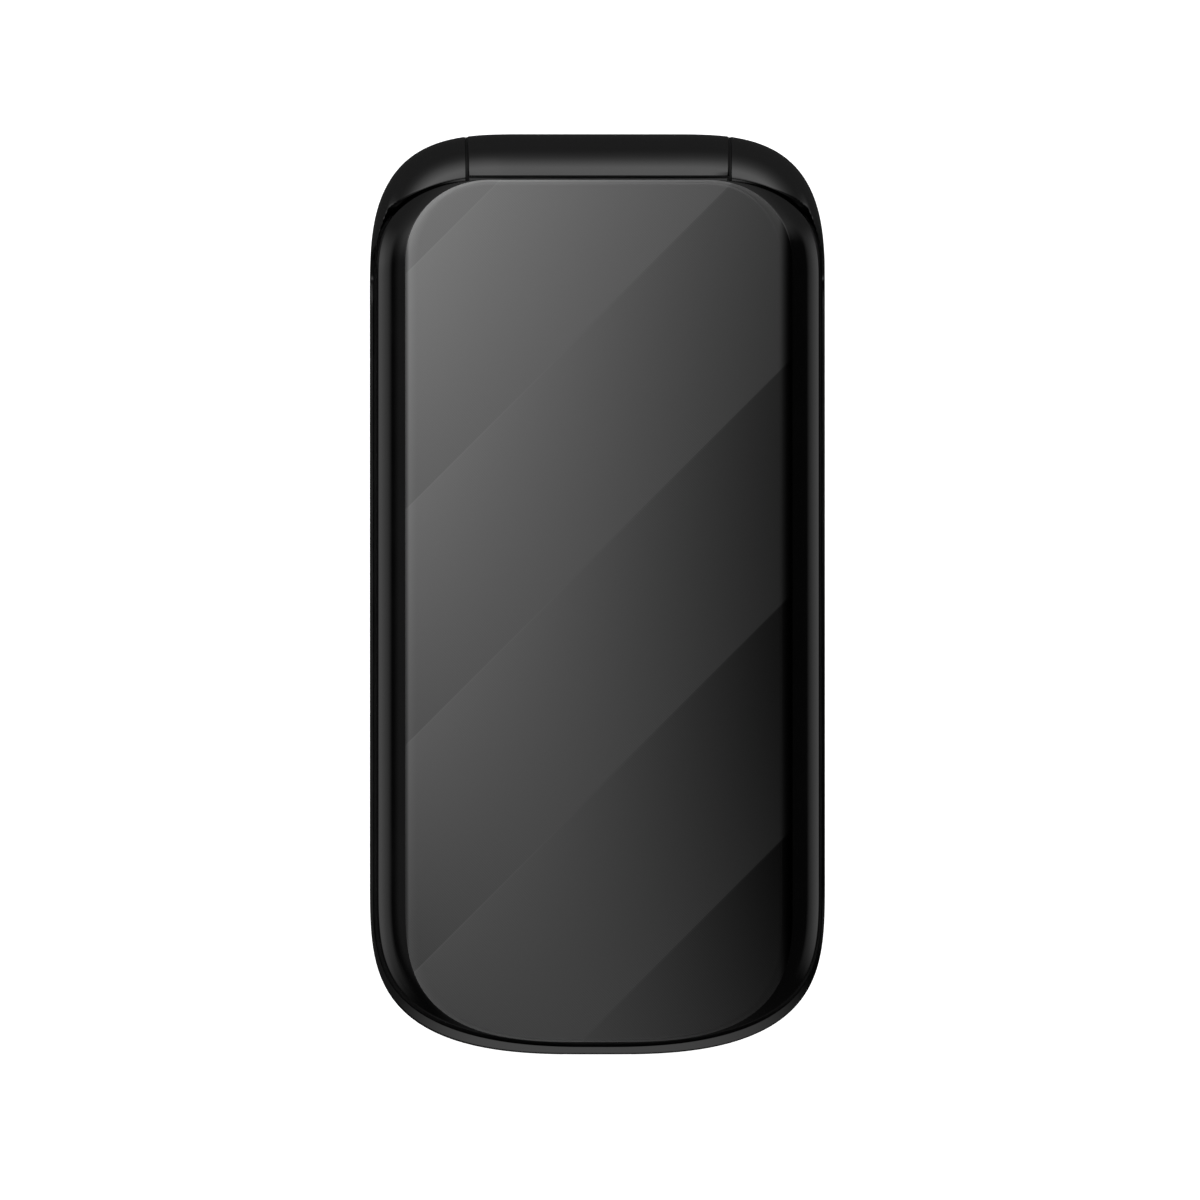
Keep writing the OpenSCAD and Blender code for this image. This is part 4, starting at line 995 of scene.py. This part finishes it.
# the ring's outer and inner edges are given as how far in and at what height, the OK key as radius and height
navPlan = {
    "hole": 5.1, "outside": [(0, 10.0), (0.1, 10.2), (0.35, 10.31), (0.9, 10.35)], "middle": (7.7, 10.33),
    "inside": [(0.9, 10.3), (0.35, 10.25), (0.08, 10.15), (0, 10.0)],
    "okKey": [(4.3, 8.85), (4.7, 8.95), (4.7, 10.0), (4.62, 10.15), (4.4, 10.23), (3.9, 10.25), (2.5, 10.21),
              (1.0, 10.18), (0.2, 10.175)],
}
(navX, navY, navZ), navSize = span("nav_ring")
ringOuter, ringInner, ringFoot = navSize[0] / 2, navPlan["hole"], navZ - navSize[2] / 2
ringProfile = [(ringInner, ringFoot), (ringOuter, ringFoot)]
ringProfile += [(ringOuter - i, z) for i, z in navPlan["outside"]] + [navPlan["middle"]]
ringProfile += [(ringInner + i, z) for i, z in navPlan["inside"]]
dress(spun("navRing", ringProfile, navX, navY, ring=True), ringMetal, "nav_ring", "ring_metal", "nav_ring")
mounted(painted(spun("okKey", navPlan["okKey"], navX, navY), keyPlastic), "ok_key", "key_plastic", "ok_key")
print("keys built")


# Lid inside

inner = {
    "low": 10.7, "high": 12.5, "plate": 12.1, "wall": 1.2,
    "edge": [(0.3, 0), (0.1, 0.06), (0.02, 0.16), (0, 0.3)],
    "lensGap": 0.4, "lensCorner": 4, "pocketTop": 11.7, "viewBorder": (1.5, 2.5), "viewCorner": 1,
    "slotsAt": (-3.2, 0, 3.2), "slot": (2.4, 1.1, 0.5),
    "wellRadius": 1.6, "seatRadius": 1.22, "seatTop": 11.2,
}
bumpers = {"x": 11, "radius": 1.2, "low": 9.95, "high": 11.2,
           "edge": [(0.5, 0), (0.2, 0.06), (0.04, 0.2), (0, 0.4)]}
screwCaps = {"freeX": 17.95, "hingeX": 19.75, "radius": 1.58,
             "profile": [(1.2, 10.73), (1.45, 10.75), (1.55, 10.83), (1.57, 10.95), (1.57, 11.18)]}

capLow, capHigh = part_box("lid_screw_caps")
lidScrews = [(side * screwCaps["freeX"], capLow[1] / mm + screwCaps["radius"]) for side in (-1, 1)]
lidScrews += [(side * screwCaps["hingeX"], capHigh[1] / mm - screwCaps["radius"]) for side in (-1, 1)]
earY = span("earpiece")[0][1]
bumperY = span("lid_bumpers")[0][1]


def lidInner():
    # inner face of the lid, with the display's pocket, the earpiece slots and the screw wells
    rings = [level(lidRing(0, i, i), inner["low"] + rise) for i, rise in inner["edge"]]
    plate = loft("lidInner", rings + [level(lidRing(0), inner["high"])])
    lensAt, lensSize = span("display_lens")
    cellAt, cellSize = span("lcd_panel")
    pocket = [size + inner["lensGap"] for size in lensSize[:2]]
    pocket = roundedRectangle(*lensAt[:2], *pocket, inner["lensCorner"])
    opening = [size - 2 * border for size, border in zip(cellSize, inner["viewBorder"])]
    opening = roundedRectangle(*cellAt[:2], *opening, inner["viewCorner"])
    swing = hinge["swing"]
    cutters = [slab("space", lidRing(0, inner["wall"], inner["wall"]), inner["plate"], 14),
               slab("pocket", pocket, 9, inner["pocketTop"]), slab("view", opening, 9, 13),
               hingeRod("swing", -far, far, swing),
               block("hingeEnd", (-far, hinge["y"] - swing, 9), (far, far, 14))]
    cutters += [slab("well", circle(x, y, inner["wellRadius"], 32), 9, 12) for x, y in lidScrews]
    cutters += [slab("slot", roundedRectangle(x, earY, *inner["slot"]), 9, 13) for x in inner["slotsAt"]]
    seats = [circle(side * bumpers["x"], bumperY, inner["seatRadius"], 32) for side in (-1, 1)]
    cutters += [slab("seat", seat, 9, inner["seatTop"]) for seat in seats]
    return carve(plate, cutters, flatFaces=True)


lens = {"corner": 3.8, "edge": [(0.5, 0), (0.16, 0.03), (0.04, 0.1), (0, 0.2)]}


def lensFace():
    # clear lens over a black border, with the dark display behind it
    (x, y, z), (width, length, height) = span("display_lens")
    low, high = z - height / 2, z + height / 2
    steps = [(i, low + rise) for i, rise in lens["edge"]] + [(0, high)]
    return cushion("displayLens", x, y, width, length, lens["corner"], steps)


def lensPrint():
    # black border round the display, which is dark while the phone sleeps
    paint = Finish("lensPrint")
    x, y, z = paint.place()
    (cellX, cellY, cellZ), cellSize = span("lcd_panel")
    borderX, borderY = inner["viewBorder"]
    acrossIn = (cellSize[0] / 2 - borderX - abs(x)).steps(-0.05, 0.05)
    alongIn = (cellSize[1] / 2 - borderY - abs(y - cellY)).steps(-0.05, 0.05)
    fine = paint.grain(0.2, 2.0)
    smudges = paint.grain(11.0, 4.0)
    cell = fine.steps(0.2, 0.8).between((0.012, 0.014, 0.02, 1), (0.017, 0.02, 0.028, 1))
    colour = (acrossIn * alongIn).between((0.003, 0.003, 0.0035, 1), cell)
    return paint.wear(Base_Color=colour, Roughness=smudges.steps(0.35, 0.75, 0.04, 0.09), Coat_Weight=0.6,
                      Coat_Roughness=0.03)


dress(lidInner(), blackLacquer, "lid", "black_gloss_shell", "lid_inner_housing")
dress(lensFace(), lensPrint(), "lid", "lens_black", "display_lens")
print("lid inside built")


# Base rear and battery cover

# bay: half width, low and high y; holes: x, radius and sides; speaker: x, y and step of its slots
rear = {
    "round": 4.5, "rise": 5.5, "wall": 1.2, "skin": 1.0, "floorLow": 3.0, "floorHigh": 3.8, "coverEdge": 30.0,
    "coverGap": 0.2, "freeSpaceEnd": 30.0, "hingeSpace": (31.4, 47.54), "notchZ": 5.7,
    "bay": (18.0, -24.2, 28.8), "bayGap": 0.3, "bayWall": 0.8, "bayTop": 6.1, "wallTop": 6.9,
    "plugHeights": (0.3, 0.5, 0.8, 1.2, 1.7, 2.3, 3.2), "plugSunk": 0.3, "plugGap": 0.01, "plugEnd": 31.0,
    "holes": ((0, 3.22, 64), (6.5, 1.32, 32)), "speaker": (-14.4, 38.0, 1.8), "speakerSlot": (8, 0.8, 0.39),
    "screws": ((20.8, 23.0), (-20.8, 23.0), (17.0, -44.5), (-17.0, -44.5)), "screwWell": 1.6, "screwTop": 4.2,
}


def rearInset(z):
    return 0 if z >= rear["rise"] else rear["round"] * (1 - sqrt(1 - (1 - z / rear["rise"]) ** 2))


def rearRings(top):
    heights = [rear["rise"] * (1 - sin(radians(a))) for a in range(90, -1, -5)]
    heights = [z for z in heights if z < top - 0.01] + [top]
    return [level(baseRing(rearInset(z)), z) for z in heights]


def rearShell():
    # rear housing: rounded edge, open below for the battery cover
    shell = loft("rearShell", rearRings(base["split"]))
    side = rearInset(rear["floorLow"]) + rear["wall"]
    low = rearInset(rear["skin"]) + rear["wall"]
    edge, floorLow, hingeEnds = rear["coverEdge"], rear["floorLow"], rear["hingeSpace"]
    freeSpace = clipped(baseRing(side), high=rear["freeSpaceEnd"])
    shell = carve(shell, [
        slab("freeSpace", freeSpace, rear["floorHigh"], 8),
        slab("hingeSpace", clipped(baseRing(low), *hingeEnds), rear["skin"], floorLow + 0.01),
        slab("hingeSpace", clipped(baseRing(side), *hingeEnds), floorLow, 8),
        block("coverRoom", (-far, -far, -1), (far, edge + rear["coverGap"], floorLow))])

    (half, start, end), gap, wall = rear["bay"], rear["bayGap"], rear["bayWall"]
    half, start, end = half + gap, start - gap, end + gap
    walls = block("bayWalls", (-half - wall, start - wall, floorLow),
                  (half + wall, end + wall, rear["wallTop"]))
    plug = []
    first, last = edge + rear["plugGap"], rear["plugEnd"]
    for z in rear["plugHeights"]:
        # fills the gap beside the cover to just below the surface
        x = base["halfWidth"] - rearInset(z) - rear["plugSunk"]
        plug.append([(x, first, z), (x, last, z), (-x, last, z), (-x, first, z)])
    shell = carve(shell, [walls, loft("gapPlug", plug)], "UNION")

    cutters = [block("bay", (-half, start, -1), (half, end, rear["bayTop"])),
               block("notch", (-far, hinge["rearStart"], rear["notchZ"]), (far, far, 20))]
    cutters += [slab("hole", circle(x, cameraY, radius, sides), -1, 2) for x, radius, sides in rear["holes"]]
    x, y, step = rear["speaker"]
    slots = [roundedRectangle(x, y + i * step, *rear["speakerSlot"]) for i in range(-2, 3)]
    cutters += [slab("speakerSlot", slot, -1, 2) for slot in slots]
    well, top = rear["screwWell"], rear["screwTop"]
    cutters += [slab("screwWell", circle(x, y, well, 32), 2, top) for x, y in rear["screws"]]
    return carve(shell, cutters + sideOpenings(), flatFaces=True)


# grip: y and step of its grooves, their greatest width, how fast they get shorter, and their depth
cover = {"top": 2.8, "innerStep": 1.9, "grip": (25.4, 1.5, 15, 1.6, 0.22), "groove": (0.6, 0.29)}


def batteryCover():
    # shallow tray that slides off, with a grip of fine grooves near its straight edge
    tray = loft("batteryCover", rearRings(cover["top"]))
    low = rearInset(rear["skin"]) + rear["wall"]
    step = rearInset(cover["innerStep"]) + rear["wall"]
    half = base["halfWidth"] - low
    cutters = [block("hingeHalf", (-far, rear["coverEdge"], -1), (far, far, 20)),
               slab("inside", baseRing(low), rear["skin"], 8),
               slab("inside", baseRing(step), cover["innerStep"], 8),
               block("open", (-half, 0, rear["skin"]), (half, far, 20))]
    y, step, widest, taper, deep = cover["grip"]
    for i in range(6):
        groove = roundedRectangle(0, y - i * step, widest - taper * abs(i - 2.5), *cover["groove"])
        cutters.append(slab("grip", groove, -1, deep))
    return carve(tray, cutters, flatFaces=True)


# radius and height, from the hole outwards
cameraPlan = {
    "ring": [(2.55, 0.35), (2.62, 0.18), (2.8, 0.15), (3.08, 0.15), (3.18, 0.22), (3.2, 0.4), (3.2, 1.0),
             (2.55, 1.0)],
    "glass": [(2.56, 0.95), (2.56, 0.36), (1.9, 0.34), (0.9, 0.33), (0.1, 0.33)],
    "lensRing": (1.25, 1.32, 1.48, 1.55), "pupil": (0.75, 0.7),
}
cameraX, cameraY = span("camera_window")[0][:2]
dress(rearShell(), mattBlack, "base", "black_matt_shell", "base_rear_housing")
dress(batteryCover(), mattBlack, "battery_cover", "black_matt_shell", "battery_cover")


def lensLook():
    # dark glass with the rings of the camera behind it
    paint = Finish("cameraGlass")
    x, y, z = paint.place()
    radius = (x * x + (y - cameraY) * (y - cameraY)) ** 0.5
    start, full, fade, end = cameraPlan["lensRing"]
    rings = radius.steps(start, full) * radius.steps(end, fade)
    pupil = radius.steps(*cameraPlan["pupil"])
    noise = paint.grain(1.5, 2.0)
    colour = (rings * 0.8).between((0.004, 0.004, 0.006, 1), (0.05, 0.05, 0.055, 1))
    colour = (pupil * 0.7).between(colour, (0.012, 0.01, 0.03, 1))
    return paint.wear(Base_Color=colour, Roughness=noise.steps(0.3, 0.7, 0.03, 0.07), Coat_Weight=0.8,
                      Coat_Roughness=0.02)


cameraRing = painted(spun("cameraRing", cameraPlan["ring"], cameraX, cameraY, ring=True), ringMetal)
cameraGlass = painted(spun("cameraGlass", cameraPlan["glass"], cameraX, cameraY), lensLook())
mounted(joined("cameraWindow", [cameraRing, cameraGlass]), "base", "lens_black", "camera_window")

for side, name in ((-1, "bumperLeft"), (1, "bumperRight")):
    edge = [(bumpers["radius"] - i, bumpers["low"] + rise) for i, rise in bumpers["edge"]]
    pad = spun(name, edge + [(bumpers["radius"], bumpers["high"])], side * bumpers["x"], bumperY, 48)
    dress(pad, siliconeRubber, "lid", "silicone", "lid_bumpers")
for k, (x, y) in enumerate(lidScrews):
    cap = spun("screwCap%d" % k, screwCaps["profile"], x, y, 48)
    dress(cap, siliconeRubber, "lid", "silicone", "lid_screw_caps")
print("base rear built")

# CAD nodes that stay as they are get the finish of their slot

slotOf = {row["node"]: row["material_slot"] for row in frame["record"]["subparts"]}
for node, shape in frame["nodes"].items():
    if slotOf[node] in finishes:
        painted(shape, finishes[slotOf[node]])
